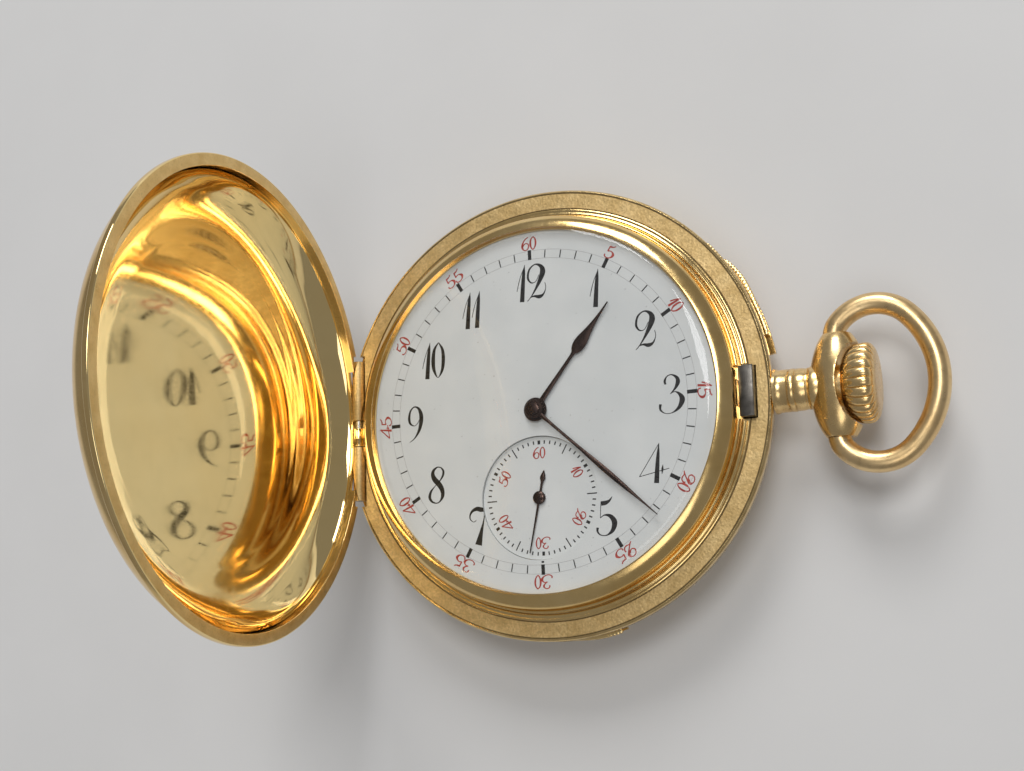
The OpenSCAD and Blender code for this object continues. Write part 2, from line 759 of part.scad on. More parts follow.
module lock_spring() color(steel)
  difference() {
    union() {
      box([latch_x0, -latch_w / 2, flange_z - 0.3], [latch_x1, latch_w / 2, flange_z + latch_h]);
      box([latch_x0, stem_bore_r + spring_h, stem_z - spring_h / 2], [hollow_r - 0.3, latch_w / 2, flange_z]);
      rotate([0, 0, 4])
        rotate_extrude(angle = 38, $fn = 180)
          translate([latch_x0 + bite, stem_z - spring_h / 2]) square([spring_t, spring_h]);
    }
    // Slot along the head's inner side
    box(
      [latch_x0 - 1, -latch_w / 2 + web_half, flange_z + 0.5],
      [latch_x0 + 0.3, latch_w / 2 - web_half, flange_z + 0.75]
    );
  }

module fly_spring() color(steel)
  rotate([0, 0, 205])
    rotate_extrude(angle = 50, $fn = 180)
      translate([hollow_r - spring_t - seat_gap, stem_z - spring_h / 2]) square([spring_t, spring_h]);

module pendant() color(gold)
  difference() {
    union() {
      bar_x(spigot_r, hollow_r + seat_gap, neck_x + 1);
      difference() {
        turned_x()
          polygon([
            [neck_x - 1, 0], [neck_x - 1, neck_r + 0.25], [neck_x + 0.5, neck_r + 0.2],
            [neck_x + 0.75, neck_r - 0.1], [neck_x + 1, neck_r], [neck_x + 1.5, neck_r],
            [neck_x + 1.7, neck_r - 0.2], [neck_x + 1.9, neck_r - 0.2], [neck_x + 2.1, neck_r + 0.1],
            [neck_x + 2.4, neck_r + 0.35], [head_x, neck_r + 0.45], [head_x + 1, 0]
          ]);
        cylinder(r = neck_x, h = big, $fn = 180);
      }
      // Almond-shaped head, whose ends are the horns
      intersection() {
        translate([bow_x, 0, stem_z]) scale([head_r, head_half, head_r]) sphere(1);
        box([head_x - 1, -horn_y, 0], [big, horn_y, big]);
      }
    }
    bar_x(stem_bore_r + pass_gap, 0, big);
    // Cup for the crown's boss, with room for the crown in front of it
    bar_x(cup_r, head_face - cup_depth, big);
    bar_x(crown_room, head_face, big);
    for (s = [0, 1])
      mirror([0, s, 0])
        bar_y(bow_x, stem_z, bow_pin_r + run_gap, crown_room - pass_gap, big);
  }

// Round wire along the bow's stations, with flat ends
module bow_wire() {
  points = [
    for (s = bow_path)
      for (k = [0:bow_sides - 1])
        let (turn = 360 * k / bow_sides, xy = polar(s[2] + bow_wire_r * cos(turn), s[3]))
          [s[0] + xy[0], s[1] + xy[1], stem_z + bow_wire_r * sin(turn)]
  ];
  last = len(bow_path) - 1;
  walls = [
    for (i = [0:last - 1])
      for (k = [0:bow_sides - 1])
        let (a = i * bow_sides + k, b = i * bow_sides + (k + 1) % bow_sides)
          each [[a, b, a + bow_sides], [b, b + bow_sides, a + bow_sides]]
  ];
  start = [for (k = [bow_sides - 1:-1:0]) k];
  end = [for (k = [0:bow_sides - 1]) last * bow_sides + k];
  polyhedron(points, concat([start], walls, [end]));
}

module bow() color(gold) {
  bow_wire();
  for (s = [0, 1])
    mirror([0, s, 0]) {
      bar_y(bow_x, stem_z, bow_wire_r + 0.1, horn_y + seat_gap, bow_eye_y + 0.3);
      bar_y(bow_x, stem_z, bow_pin_r, horn_y - bow_pin_in, bow_eye_y);
    }
}

module crown() color(gold)
  difference() {
    union() {
      turned_x()
        polygon([
          [crown_x, 0], [crown_x, crown_r - 0.9], [crown_x + 0.25, crown_r - 0.45],
          [crown_x + 0.7, crown_r - 0.15], [crown_x + 1.3, crown_r], [crown_x + crown_l - 1.3, crown_r],
          [crown_x + crown_l - 0.6, crown_r - 0.2], [crown_x + crown_l - 0.2, crown_r - 0.65],
          [crown_x + crown_l, crown_r - 1.4], [crown_x + crown_l, 0]
        ]);
      bar_x(crown_boss_r, head_face - 0.5, crown_x + 0.5);
    }
    for (i = [0:crown_flutes - 1])
      translate([0, 0, stem_z])
        rotate([i * 360 / crown_flutes, 0, 0])
          translate([crown_x - 1, 0, crown_r + 0.12])
            rotate([0, 90, 0])
              cylinder(r = 0.42, h = crown_l + 0.3, $fn = 24);
    bar_x(stem_r + seat_gap, 0, stem_end_x);
  }

module winding_stem() color(steel)
  bar_x(stem_r, clutch_x - crown_pull - edge_break, stem_end_x - seat_gap);

module winding_pinion() color(steel)
  difference() {
    translate([pinion_x, 0, stem_z])
      rotate([0, 90, 0])
        linear_extrude(pinion_l)
          toothed(14, winding_r / 7.85, 0);
    bar_x(stem_bore_r, 0, big);
  }

module clutch() color(steel)
  difference() {
    union() {
      translate([clutch_x, 0, stem_z])
        rotate([0, 90, 0])
          linear_extrude(0.6)
            toothed(12, 0.22, 0);
      bar_x(0.95, clutch_x, clutch_x + clutch_l);
      bar_x(1.5, clutch_x + clutch_l - 0.5, clutch_x + clutch_l);
    }
    bar_x(stem_bore_r, 0, big);
  }

module dial() color(enamel)
  difference() {
    union() {
      translate([0, 0, dial_z]) cylinder(r = dial_r, h = dial_t, $fn = 180);
      for (p = dial_feet)
        translate([p[0], p[1], dial_z - 1.2]) cylinder(r = dial_foot_r, h = 1.3, $fn = 32);
    }
    translate([0, 0, dial_z - 2]) cylinder(r = hour_pipe_r + 3 * seat_gap, h = big);
    translate([0, -seconds_y, dial_z - 2]) cylinder(r = seconds_r, h = big);
  }

module seconds_dial() color(enamel)
  translate([0, -seconds_y, 0])
    difference() {
      translate([0, 0, dial_z]) cylinder(r = seconds_r - seat_gap, h = seconds_top - dial_z);
      cylinder(r = seconds_arbor_r + seat_gap, h = big, $fn = 32);
    }

// Hub and blade of a hand that points to twelve, turned clockwise
module hand(z, angle, hub_r, bore_r) {
  rotate([0, 0, -angle])
    translate([0, 0, z])
      linear_extrude(hand_t)
        difference() {
          union() {
            circle(hub_r, $fn = 48);
            children();
          }
          circle(bore_r, $fn = 48);
        }
}

module hour_hand() color(dark_steel) {
  bulge = hour_l * 0.64;
  hand(hour_hand_z, hour_dir, 1.35, hour_pipe_r + seat_gap / 2) {
    polygon([[-0.3, 0], [0.3, 0], [0.22, bulge - 1.6], [-0.22, bulge - 1.6]]);
    polygon([
      [-0.22, bulge - 1.7], [0.22, bulge - 1.7], [0.75, bulge - 0.3], [0.78, bulge + 0.3], [0.5, bulge + 1.1],
      [0.1, hour_l], [-0.1, hour_l], [-0.5, bulge + 1.1], [-0.78, bulge + 0.3], [-0.75, bulge - 0.3]
    ]);
  }
}

module minute_hand() color(dark_steel)
  hand(minute_hand_z, minute_dir, 1.1, cannon_r + seat_gap / 2)
    polygon([
      [-0.25, 0], [0.25, 0], [0.16, 0.22 * minute_l], [0.42, 0.62 * minute_l], [0.06, minute_l],
      [-0.06, minute_l], [-0.42, 0.62 * minute_l], [-0.16, 0.22 * minute_l]
    ]);

module seconds_hand() color(dark_steel) {
  tail = seconds_l / 2;
  translate([0, -seconds_y, 0])
    hand(seconds_hand_z, seconds_dir, 0.7, seconds_arbor_r + seat_gap / 2)
      polygon([
        [0.05, seconds_l], [-0.05, seconds_l], [-0.13, 0], [-0.1, -0.52 * tail], [-0.3, -0.74 * tail],
        [0, -tail], [0.3, -0.74 * tail], [0.1, -0.52 * tail], [0.13, 0]
      ]);
}

module cannon_pinion() color(steel)
  difference() {
    union() {
      translate([0, 0, minute_wheel_z])
        cylinder(r = cannon_r, h = minute_hand_z + hand_t + seat_gap - minute_wheel_z);
      pinion(cannon_leaves, cannon_m, minute_wheel_dir, minute_wheel_z, wheel_t + seat_gap);
    }
    cylinder(r = cannon_arbor_r + run_gap, h = big, $fn = 48);
  }

module hour_wheel() color(brass_gilt)
  difference() {
    union() {
      translate([0, 0, hour_wheel_z])
        cylinder(r = hour_pipe_r, h = hour_hand_z + hand_t + seat_gap - hour_wheel_z);
      pinion(hour_teeth, minute_m, minute_wheel_dir, hour_wheel_z, wheel_t);
    }
    cylinder(r = cannon_r + run_gap, h = big);
  }

module minute_wheel() color(brass_gilt)
  translate([minute_wheel_xy[0], minute_wheel_xy[1], 0])
    difference() {
      union() {
        pinion(minute_teeth, cannon_m, minute_wheel_dir + 180 + 180 / minute_teeth, minute_wheel_z, wheel_t);
        pinion(
          minute_leaves, minute_m, minute_wheel_dir + 180 + 180 / minute_leaves, minute_wheel_z,
          hour_wheel_z + wheel_t - minute_wheel_z
        );
      }
      cylinder(r = minute_post_r + run_gap, h = big, $fn = 32);
    }

module main_plate() color(brass_gilt)
  difference() {
    union() {
      translate([0, 0, plate_z + seat_gap]) cylinder(r = plate_r, h = plate_t - seat_gap, $fn = 180);
      // Pillar that bears the winding stem
      box(
        [pillar_x0, -pillar_w / 2, bridge_top + seat_gap],
        [bridge_r - edge_break, pillar_w / 2, plate_z + 0.5]
      );
    }
    // Pocket for the wheels under the dial, with the minute wheel's post left standing
    difference() {
      translate([0, 0, motion_floor])
        union() {
          cylinder(r = 3.7, h = big);
          translate([minute_wheel_xy[0], minute_wheel_xy[1], 0]) cylinder(r = 3.4, h = big);
        }
      translate([minute_wheel_xy[0], minute_wheel_xy[1], 0])
        cylinder(r = minute_post_r, h = hour_wheel_z + wheel_t + seat_gap, $fn = 32);
    }
    cylinder(r = cannon_arbor_r + run_gap, h = big, $fn = 48);
    for (p = [third_xy, escape_xy, pallet_xy, balance_xy])
      translate([p[0], p[1], 0]) cylinder(r = pivot_r + run_gap, h = pivot_end, $fn = 32);
    translate([fourth_xy[0], fourth_xy[1], 0]) cylinder(r = seconds_arbor_r + run_gap, h = big, $fn = 32);
    translate([barrel_xy[0], barrel_xy[1], 0]) cylinder(r = barrel_pivot_r + run_gap, h = pivot_end);
    screw_holes([each barrel_feet, each train_feet, cock_foot, pallet_foot]);
    screw_holes(case_screw_places);
    for (p = dial_feet)
      translate([p[0], p[1], plate_z + 0.3]) cylinder(r = dial_foot_r + run_gap, h = big, $fn = 32);
    bar_x(stem_bore_r, 0, big);
    // Recess over the winding pinion and the clutch
    box([clutch_x - web_half, -winding_room, 0], [pillar_x0, winding_room, stem_z + winding_r + edge_break]);
  }

module barrel() color(brass_gilt)
  translate([barrel_xy[0], barrel_xy[1], 0])
    difference() {
      union() {
        translate([0, 0, barrel_z]) cylinder(r = drum_r, h = barrel_h);
        pinion(barrel_teeth, barrel_m, barrel_dir + 180, barrel_z + barrel_h - tooth_h, tooth_h);
      }
      translate([0, 0, barrel_z - 1]) cylinder(r = drum_r - barrel_wall, h = barrel_h - barrel_wall + 1);
      cylinder(r = barrel_pivot_r + run_gap, h = big);
    }

module barrel_cover() color(brass_gilt)
  translate([barrel_xy[0], barrel_xy[1], 0])
    ring(barrel_arbor_r + run_gap, drum_r - barrel_wall - seat_gap, barrel_z + seat_gap, barrel_wall);

module mainspring() color(steel) {
  main_t = 0.2;
  room = barrel_h - 2 * barrel_wall - 3 * seat_gap;
  start = barrel_arbor_r + 2 * pass_gap + main_t;
  pitch = (drum_r - barrel_wall - pass_gap - main_t - start) / main_turns;
  translate([barrel_xy[0], barrel_xy[1], barrel_z + barrel_wall + 2 * seat_gap])
    linear_extrude(room)
      spiral(start, pitch, main_turns, main_t);
}

module barrel_arbor() color(steel)
  translate([barrel_xy[0], barrel_xy[1], 0]) {
    top = barrel_z + barrel_h - barrel_wall - seat_gap;
    translate([0, 0, bridge_z]) cylinder(r = barrel_arbor_r, h = top - bridge_z);
    translate([0, 0, top]) cylinder(r = barrel_pivot_r, h = plate_z + pivot_in - top);
    box([-square_half, -square_half, ratchet_z], [square_half, square_half, bridge_z]);
  }

module ratchet_wheel() color(steel) {
  hole = square_half + seat_gap / 2;
  translate([barrel_xy[0], barrel_xy[1], ratchet_z])
    difference() {
      linear_extrude(ratchet_t)
        toothed(ratchet_teeth, ratchet_m, dir(barrel_xy, crown_wheel_xy));
      box([-hole, -hole, -1], [hole, hole, 1]);
    }
}

module crown_wheel() color(steel)
  translate([crown_wheel_xy[0], crown_wheel_xy[1], ratchet_z])
    difference() {
      linear_extrude(ratchet_t)
        toothed(crown_teeth, ratchet_m, dir(crown_wheel_xy, barrel_xy) + 180 / crown_teeth);
      translate([0, 0, -1]) cylinder(r = crown_boss + run_gap, h = 3);
    }

module click() color(steel)
  difference() {
    translate([0, 0, ratchet_z])
      linear_extrude(ratchet_t)
        union() {
          translate(click_pivot) circle(click_r);
          link(click_pivot, click_beak, 0.6, 0.2);
        }
    translate([click_pivot[0], click_pivot[1], 0]) cylinder(r = click_post_r + run_gap, h = big, $fn = 32);
  }

module click_spring() color(steel)
  translate([click_pivot[0], click_pivot[1], ratchet_z])
    rotate([0, 0, 60])
      rotate_extrude(angle = 150)
        translate([click_r + 0.25, 0]) square([0.18, ratchet_t]);

module barrel_bridge() color(brass_gilt)
  difference() {
    union() {
      translate([0, 0, bridge_z])
        linear_extrude(bridge_t)
          intersection() {
            circle(bridge_r, $fn = 180);
            union() {
              translate([barrel_edge_x, train_y[1] + bridge_gap]) square(big);
              translate([train_x[1] + bridge_gap, train_y[0] + bridge_gap]) square(big);
            }
          }
      for (p = barrel_feet)
        translate([p[0], p[1], bridge_z]) cylinder(r = foot_radius, h = plate_z - bridge_z);
      // Boss of the crown wheel and post of the click
      translate([crown_wheel_xy[0], crown_wheel_xy[1], ratchet_z]) cylinder(r = crown_boss, h = 1);
      translate([click_pivot[0], click_pivot[1], ratchet_z]) cylinder(r = click_post_r, h = 1, $fn = 32);
    }
    translate([barrel_xy[0], barrel_xy[1], 0]) cylinder(r = barrel_arbor_r + run_gap, h = big);
    screw_holes(barrel_feet);
    // Opening for the winding pinion and the clutch
    box([clutch_x - web_half, -winding_room, bridge_z + 0.4], [pillar_x0, winding_room, big]);
    box([pinion_x - 0.2, -1.6, bridge_z - 1], [pinion_x + pinion_l + 0.2, 1.6, big]);
  }

module train_bridge() color(brass_gilt)
  difference() {
    union() {
      translate([0, 0, bridge_z])
        linear_extrude(bridge_t)
          difference() {
            intersection() {
              circle(bridge_r, $fn = 180);
              union() {
                translate([train_x[0], -big]) square([train_x[1] - train_x[0], big + train_y[1]]);
                translate([train_x[0], -big]) square([big, big + train_y[0]]);
              }
            }
            translate(balance_xy) circle(balance_cut_r);
          }
      for (p = train_feet)
        translate([p[0], p[1], bridge_z]) cylinder(r = foot_radius, h = plate_z - bridge_z);
    }
    for (p = [third_xy, fourth_xy, escape_xy])
      translate([p[0], p[1], 0]) {
        cylinder(r = pivot_r + run_gap, h = big, $fn = 32);
        cylinder(r = jewel_r + seat_gap / 2, h = bridge_z + 0.5, $fn = 48);
      }
    cylinder(r = cannon_arbor_r + run_gap, h = big, $fn = 48);
    screw_holes(train_feet);
  }

module centre_wheel() color(brass_gilt) {
  translate([0, 0, pivot_z])
    cylinder(r = cannon_arbor_r, h = minute_hand_z + hand_t - pivot_z, $fn = 48);
  translate([0, 0, bridge_top + pass_gap]) cylinder(r = 0.7, h = plate_z - bridge_top - 2 * pass_gap);
  train_wheel(centre_teeth, centre_m, dir([0, 0], third_xy), centre_wheel_z, wheel_t, 5, 1.1);
  pinion(
    centre_leaves, barrel_m, barrel_dir + 180 / centre_leaves, barrel_z + barrel_h - tooth_h - 0.05,
    tooth_h + 0.1
  );
}

module third_wheel() color(brass_gilt)
  translate([third_xy[0], third_xy[1], 0]) {
    arbor(bridge_top + pass_gap, plate_z - pass_gap, pivot_z, plate_z + pivot_in);
    pinion(
      third_leaves, centre_m, dir(third_xy, [0, 0]) + 180 / third_leaves, centre_wheel_z - pass_gap,
      wheel_t + 2 * pass_gap
    );
    train_wheel(third_teeth, third_m, dir(third_xy, fourth_xy), third_wheel_z, wheel_t, 5, 0.9);
  }

module fourth_wheel() color(brass_gilt)
  translate([fourth_xy[0], fourth_xy[1], 0]) {
    arbor(bridge_top + pass_gap, plate_z - pass_gap, pivot_z, plate_z);
    translate([0, 0, plate_z - pass_gap])
      cylinder(r = seconds_arbor_r, h = seconds_hand_z + hand_t + pass_gap - plate_z, $fn = 32);
    pinion(
      fourth_leaves, third_m, dir(fourth_xy, third_xy) + 180 / fourth_leaves, third_wheel_z - pass_gap,
      wheel_t + 2 * pass_gap
    );
    train_wheel(fourth_teeth, fourth_m, dir(fourth_xy, escape_xy), fourth_wheel_z, wheel_t, 4, 0.8);
  }

module escape_wheel() color(steel)
  translate([escape_xy[0], escape_xy[1], 0]) {
    arbor(bridge_top + pass_gap, plate_z - pass_gap, pivot_z, plate_z + pivot_in);
    pinion(
      escape_leaves, fourth_m, dir(escape_xy, fourth_xy) + 180 / escape_leaves, fourth_wheel_z - pass_gap,
      wheel_t + 2 * pass_gap
    );
    translate([0, 0, escape_wheel_z])
      linear_extrude(wheel_t)
        difference() {
          polygon([
            for (i = [0:escape_teeth - 1])
              for (c = [[0.75, 0], [0.7, 5], [0, 12], [0.12, 15], [0.72, 12]])
                polar(escape_r - c[0], i * 360 / escape_teeth + c[1])
          ]);
          for (i = [0:3])
            rotate(i * 90 + 45) translate([1.25, 0]) circle(0.6, $fn = 32);
        }
  }

module pallet_fork() color(steel)
  translate([pallet_xy[0], pallet_xy[1], 0])
    union() {
      toward = pallet_dir + 180;
      neck = polar(lever_l - 1.4, lever_dir);
      notch = polar(lever_l - 1, lever_dir);
      translate([0, 0, pallet_cock_z + bite])
        cylinder(r = pivot_r, h = plate_z + pivot_in - pallet_cock_z - bite, $fn = 32);
      translate([0, 0, escape_wheel_z - 0.05]) cylinder(r = arbor_r, h = plate_z - pass_gap - escape_wheel_z);
      translate([0, 0, escape_wheel_z])
        linear_extrude(wheel_t)
          difference() {
            union() {
              link([0, 0], neck, 0.6, 0.35);
              for (s = [-1, 1]) {
                link(neck, notch + polar(0.3, lever_dir + 90 * s), 0.4, 0.12);
                link([0, 0], polar(pallet_arm, toward + s * 72), 0.55, 0.28);
              }
            }
            translate(notch) circle(0.2, $fn = 32);
          }
      // Pallet stones, clear of the tips of the escape wheel's teeth
      for (s = [-1, 1])
        translate([0, 0, escape_wheel_z])
          linear_extrude(wheel_t)
            link(polar(pallet_arm, toward + s * 72), polar(pallet_arm, toward + s * 66), 0.16, 0.12);
    }

module pallet_cock() color(brass_gilt)
  difference() {
    union() {
      translate([0, 0, pallet_cock_z])
        linear_extrude(pallet_cock_t)
          link(pallet_xy, pallet_foot, 0.8, pallet_foot_r);
      translate([pallet_foot[0], pallet_foot[1], pallet_cock_z])
        cylinder(r = pallet_foot_r, h = plate_z - pallet_cock_z);
    }
    translate([pallet_xy[0], pallet_xy[1], 0]) cylinder(r = pivot_r + run_gap, h = big, $fn = 32);
    screw_holes([pallet_foot]);
  }

module balance_wheel() color("#c9a54a")
  translate([balance_xy[0], balance_xy[1], 0])
    union() {
      ring(balance_r - balance_rim, balance_r, balance_z, balance_h);
      for (a = [20, 200])
        rotate([0, 0, a])
          box(
            [0, -balance_arm / 2, balance_z + pass_gap],
            [balance_r - balance_rim / 2, balance_arm / 2, balance_z + balance_h - pass_gap]
          );
      translate([0, 0, balance_z - 0.05]) cylinder(r = 1, h = balance_h + 0.1);
      translate([0, 0, hair_z]) cylinder(r = collet_r, h = 0.4);
      arbor(cock_z + cock_t + pass_gap, plate_z - pass_gap, cock_z + pass_gap, plate_z + pivot_in);
      // Roller with its impulse pin, which ends short of the fork
      translate([0, 0, balance_z + balance_h]) cylinder(r = 1.15, h = 0.15);
      translate([0.85, 0, balance_z + balance_h]) cylinder(r = 0.14, h = 0.2, $fn = 32);
      for (i = [0:balance_screws - 1])
        rotate([0, 0, 35 + i * 360 / balance_screws])
          translate([balance_r - 0.2, 0, balance_z + balance_h / 2])
            rotate([0, 90, 0])
              cylinder(r = 0.2, h = 0.6, $fn = 24);
    }

module hairspring() color("#4a5a80")
  translate([balance_xy[0], balance_xy[1], hair_z])
    linear_extrude(hair_h)
      spiral(hair_start, hair_pitch, hair_turns, hair_t);

module balance_cock() color(brass_gilt) {
  stud = balance_xy + polar(hair_start + hair_pitch * hair_turns + 0.35, hair_turns * 360 + 4);
  difference() {
    union() {
      translate([0, 0, cock_z])
        linear_extrude(cock_t)
          link(balance_xy, cock_foot, 2.2, cock_foot_r);
      translate([cock_foot[0], cock_foot[1], cock_z]) cylinder(r = cock_foot_r, h = plate_z - cock_z);
      translate([stud[0], stud[1], cock_z]) cylinder(r = 0.25, h = hair_z + hair_h - cock_z, $fn = 32);
      translate([balance_xy[0], balance_xy[1], cock_z])
        linear_extrude(cock_t)
          link([0, 0], stud - balance_xy, 0.8, 0.5);
    }
    translate([balance_xy[0], balance_xy[1], 0]) {
      cylinder(r = pivot_r + run_gap, h = big, $fn = 32);
      cylinder(r = jewel_r + seat_gap / 2, h = cock_z + 0.3, $fn = 48);
    }
    translate([cock_foot[0], cock_foot[1], 0]) cylinder(r = 1.8 * screw_r + run_gap, h = bridge_z, $fn = 48);
    screw_holes([cock_foot]);
  }
}

module regulator() color(steel)
  translate([balance_xy[0], balance_xy[1], movement_z])
    linear_extrude(regulator_t)
      difference() {
        union() {
          circle(1.4);
          link([0, 0], polar(5, 100), 0.5, 0.2);
          link([0, 0], polar(2.4, -60), 0.4, 0.2);
        }
        circle(jewel_r + pass_gap);
      }

// One jewel ring with its hole for a pivot
module jewel(p, z, h)
  translate([p[0], p[1], 0])
    ring(pivot_r + run_gap, jewel_r, z, h);

module jewels() color("#a8203c") {
  for (p = [third_xy, fourth_xy, escape_xy])
    jewel(p, bridge_z, 0.45);
  jewel(balance_xy, cock_z, 0.25);
}

module bridge_screws() color(steel) {
  screws_at([each barrel_feet, each train_feet, cock_foot], bridge_z, plate_z + 1, screw_r);
  screws_at([pallet_foot], pallet_cock_z, plate_z + 1, screw_r);
}

module case_screws() color(steel)
  screws_at(case_screw_places, plate_z - ledge_t - seat_gap, plate_z + 1, screw_r);

case_band();
pendant();
bow();
crown();
winding_stem();
front_cover();
front_hinge_pin();
back_cover();
cuvette();
back_hinge_pin();
bezel();
crystal();
lock_spring();
fly_spring();
dial();
seconds_dial();
hour_hand();
minute_hand();
seconds_hand();
cannon_pinion();
hour_wheel();
minute_wheel();
main_plate();
barrel();
barrel_cover();
mainspring();
barrel_arbor();
ratchet_wheel();
crown_wheel();
click();
click_spring();
barrel_bridge();
train_bridge();
centre_wheel();
third_wheel();
fourth_wheel();
escape_wheel();
pallet_fork();
pallet_cock();
balance_wheel();
hairspring();
balance_cock();
regulator();
winding_pinion();
clutch();
jewels();
bridge_screws();
case_screws();
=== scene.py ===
"""Looks of a hunter pocket watch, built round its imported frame.

Sizes are in millimetres, but in metres inside the finishes, for the lamps and for the camera's range of sight.
"""

import logging
import math
from dataclasses import dataclass
from enum import Enum
from typing import Callable, Iterable, Optional, Sequence, Union

import bmesh
import bpy
from mathutils import Matrix, Vector


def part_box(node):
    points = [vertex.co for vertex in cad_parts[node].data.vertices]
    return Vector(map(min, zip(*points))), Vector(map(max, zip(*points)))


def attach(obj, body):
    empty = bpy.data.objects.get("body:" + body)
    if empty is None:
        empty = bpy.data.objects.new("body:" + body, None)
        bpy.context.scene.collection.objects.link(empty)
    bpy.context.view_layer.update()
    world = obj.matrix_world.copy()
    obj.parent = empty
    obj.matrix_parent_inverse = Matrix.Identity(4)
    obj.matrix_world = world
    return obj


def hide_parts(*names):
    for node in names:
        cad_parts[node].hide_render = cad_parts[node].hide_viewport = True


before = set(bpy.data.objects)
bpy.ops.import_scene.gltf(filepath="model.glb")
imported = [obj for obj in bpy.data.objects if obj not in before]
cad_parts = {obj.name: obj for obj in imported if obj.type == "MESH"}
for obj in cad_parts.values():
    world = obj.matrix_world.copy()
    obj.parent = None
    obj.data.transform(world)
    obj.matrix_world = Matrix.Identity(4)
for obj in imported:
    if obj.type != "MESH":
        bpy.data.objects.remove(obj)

LOG = logging.getLogger("pocket_watch")
MM = 0.001
Point = tuple[float, float]
Triple = tuple[float, float, float]
Colour = Triple
Stroke = Sequence[Triple]
Socket = bpy.types.NodeSocket
# Name or number of a node's socket
Key = Union[str, int]
# Places that several pieces share
STEM_Z = 6.08141
BOW_X = 32.6045
SUNK_AT: Point = (0.0, -9.95)
BLACK: Colour = (0.0, 0.0, 0.0)
WHITE: Colour = (1.0, 1.0, 1.0)
# Sockets of a colour mix
MIX_INPUTS, MIX_RESULT = (0, 6, 7), 2
# Wear of metal: scales in waves per metre, depths in metres
NOISE_MIDDLE: Point = (0.3, 0.7)
PATCH_STOPS: Point = (0.32, 0.66)
GRIME_STOPS: Point = (0.5, 0.8)
GRIME_FINER, GRIME_SHADE = 9.0, 0.45
WEAR_SCALE = 900.0
SCRATCH_WAYS: tuple[Triple, ...] = ((0.12, 6.0, 1.0), (6.0, 0.12, 1.0))
SCRATCH_DEPTH, SCRATCH_ROUGH = 0.00002, 0.05
SPECK_SCALE, SPECK_DEPTH = 7000.0, 0.00003
DENT_SCALE, DENT_DEPTH = 75.0, 0.0012
# Distances within which points are merged
WELD_TURNED, WELD_PIECE = 1e-5, 1e-6
# Print: small steps in level keep crossing strokes apart
LAYER_STEP, LAYERS = 0.0006, 4
STROKE_STEPS, CIRCLE_STEPS = 10, 180
# Degrees on a dial
HOUR_TURN, MINUTE_TURN = 30, 6


class Body(str, Enum):
    """Bodies of the frame that new pieces ride on."""

    CASE = "case"
    LID = "front_cover"
    BACK = "back_cover"
    LATCH = "latch"
    BOW = "bow"
    CROWN = "crown"
    HOUR = "hour_hand"
    MINUTE = "minute_hand"
    SECONDS = "seconds"


class Slot(str, Enum):
    """Material slots of the record."""

    GOLD = "case_gold"
    STEEL = "steel"
    GLASS = "crystal_glass"
    HAND = "hand_steel"


# Materials


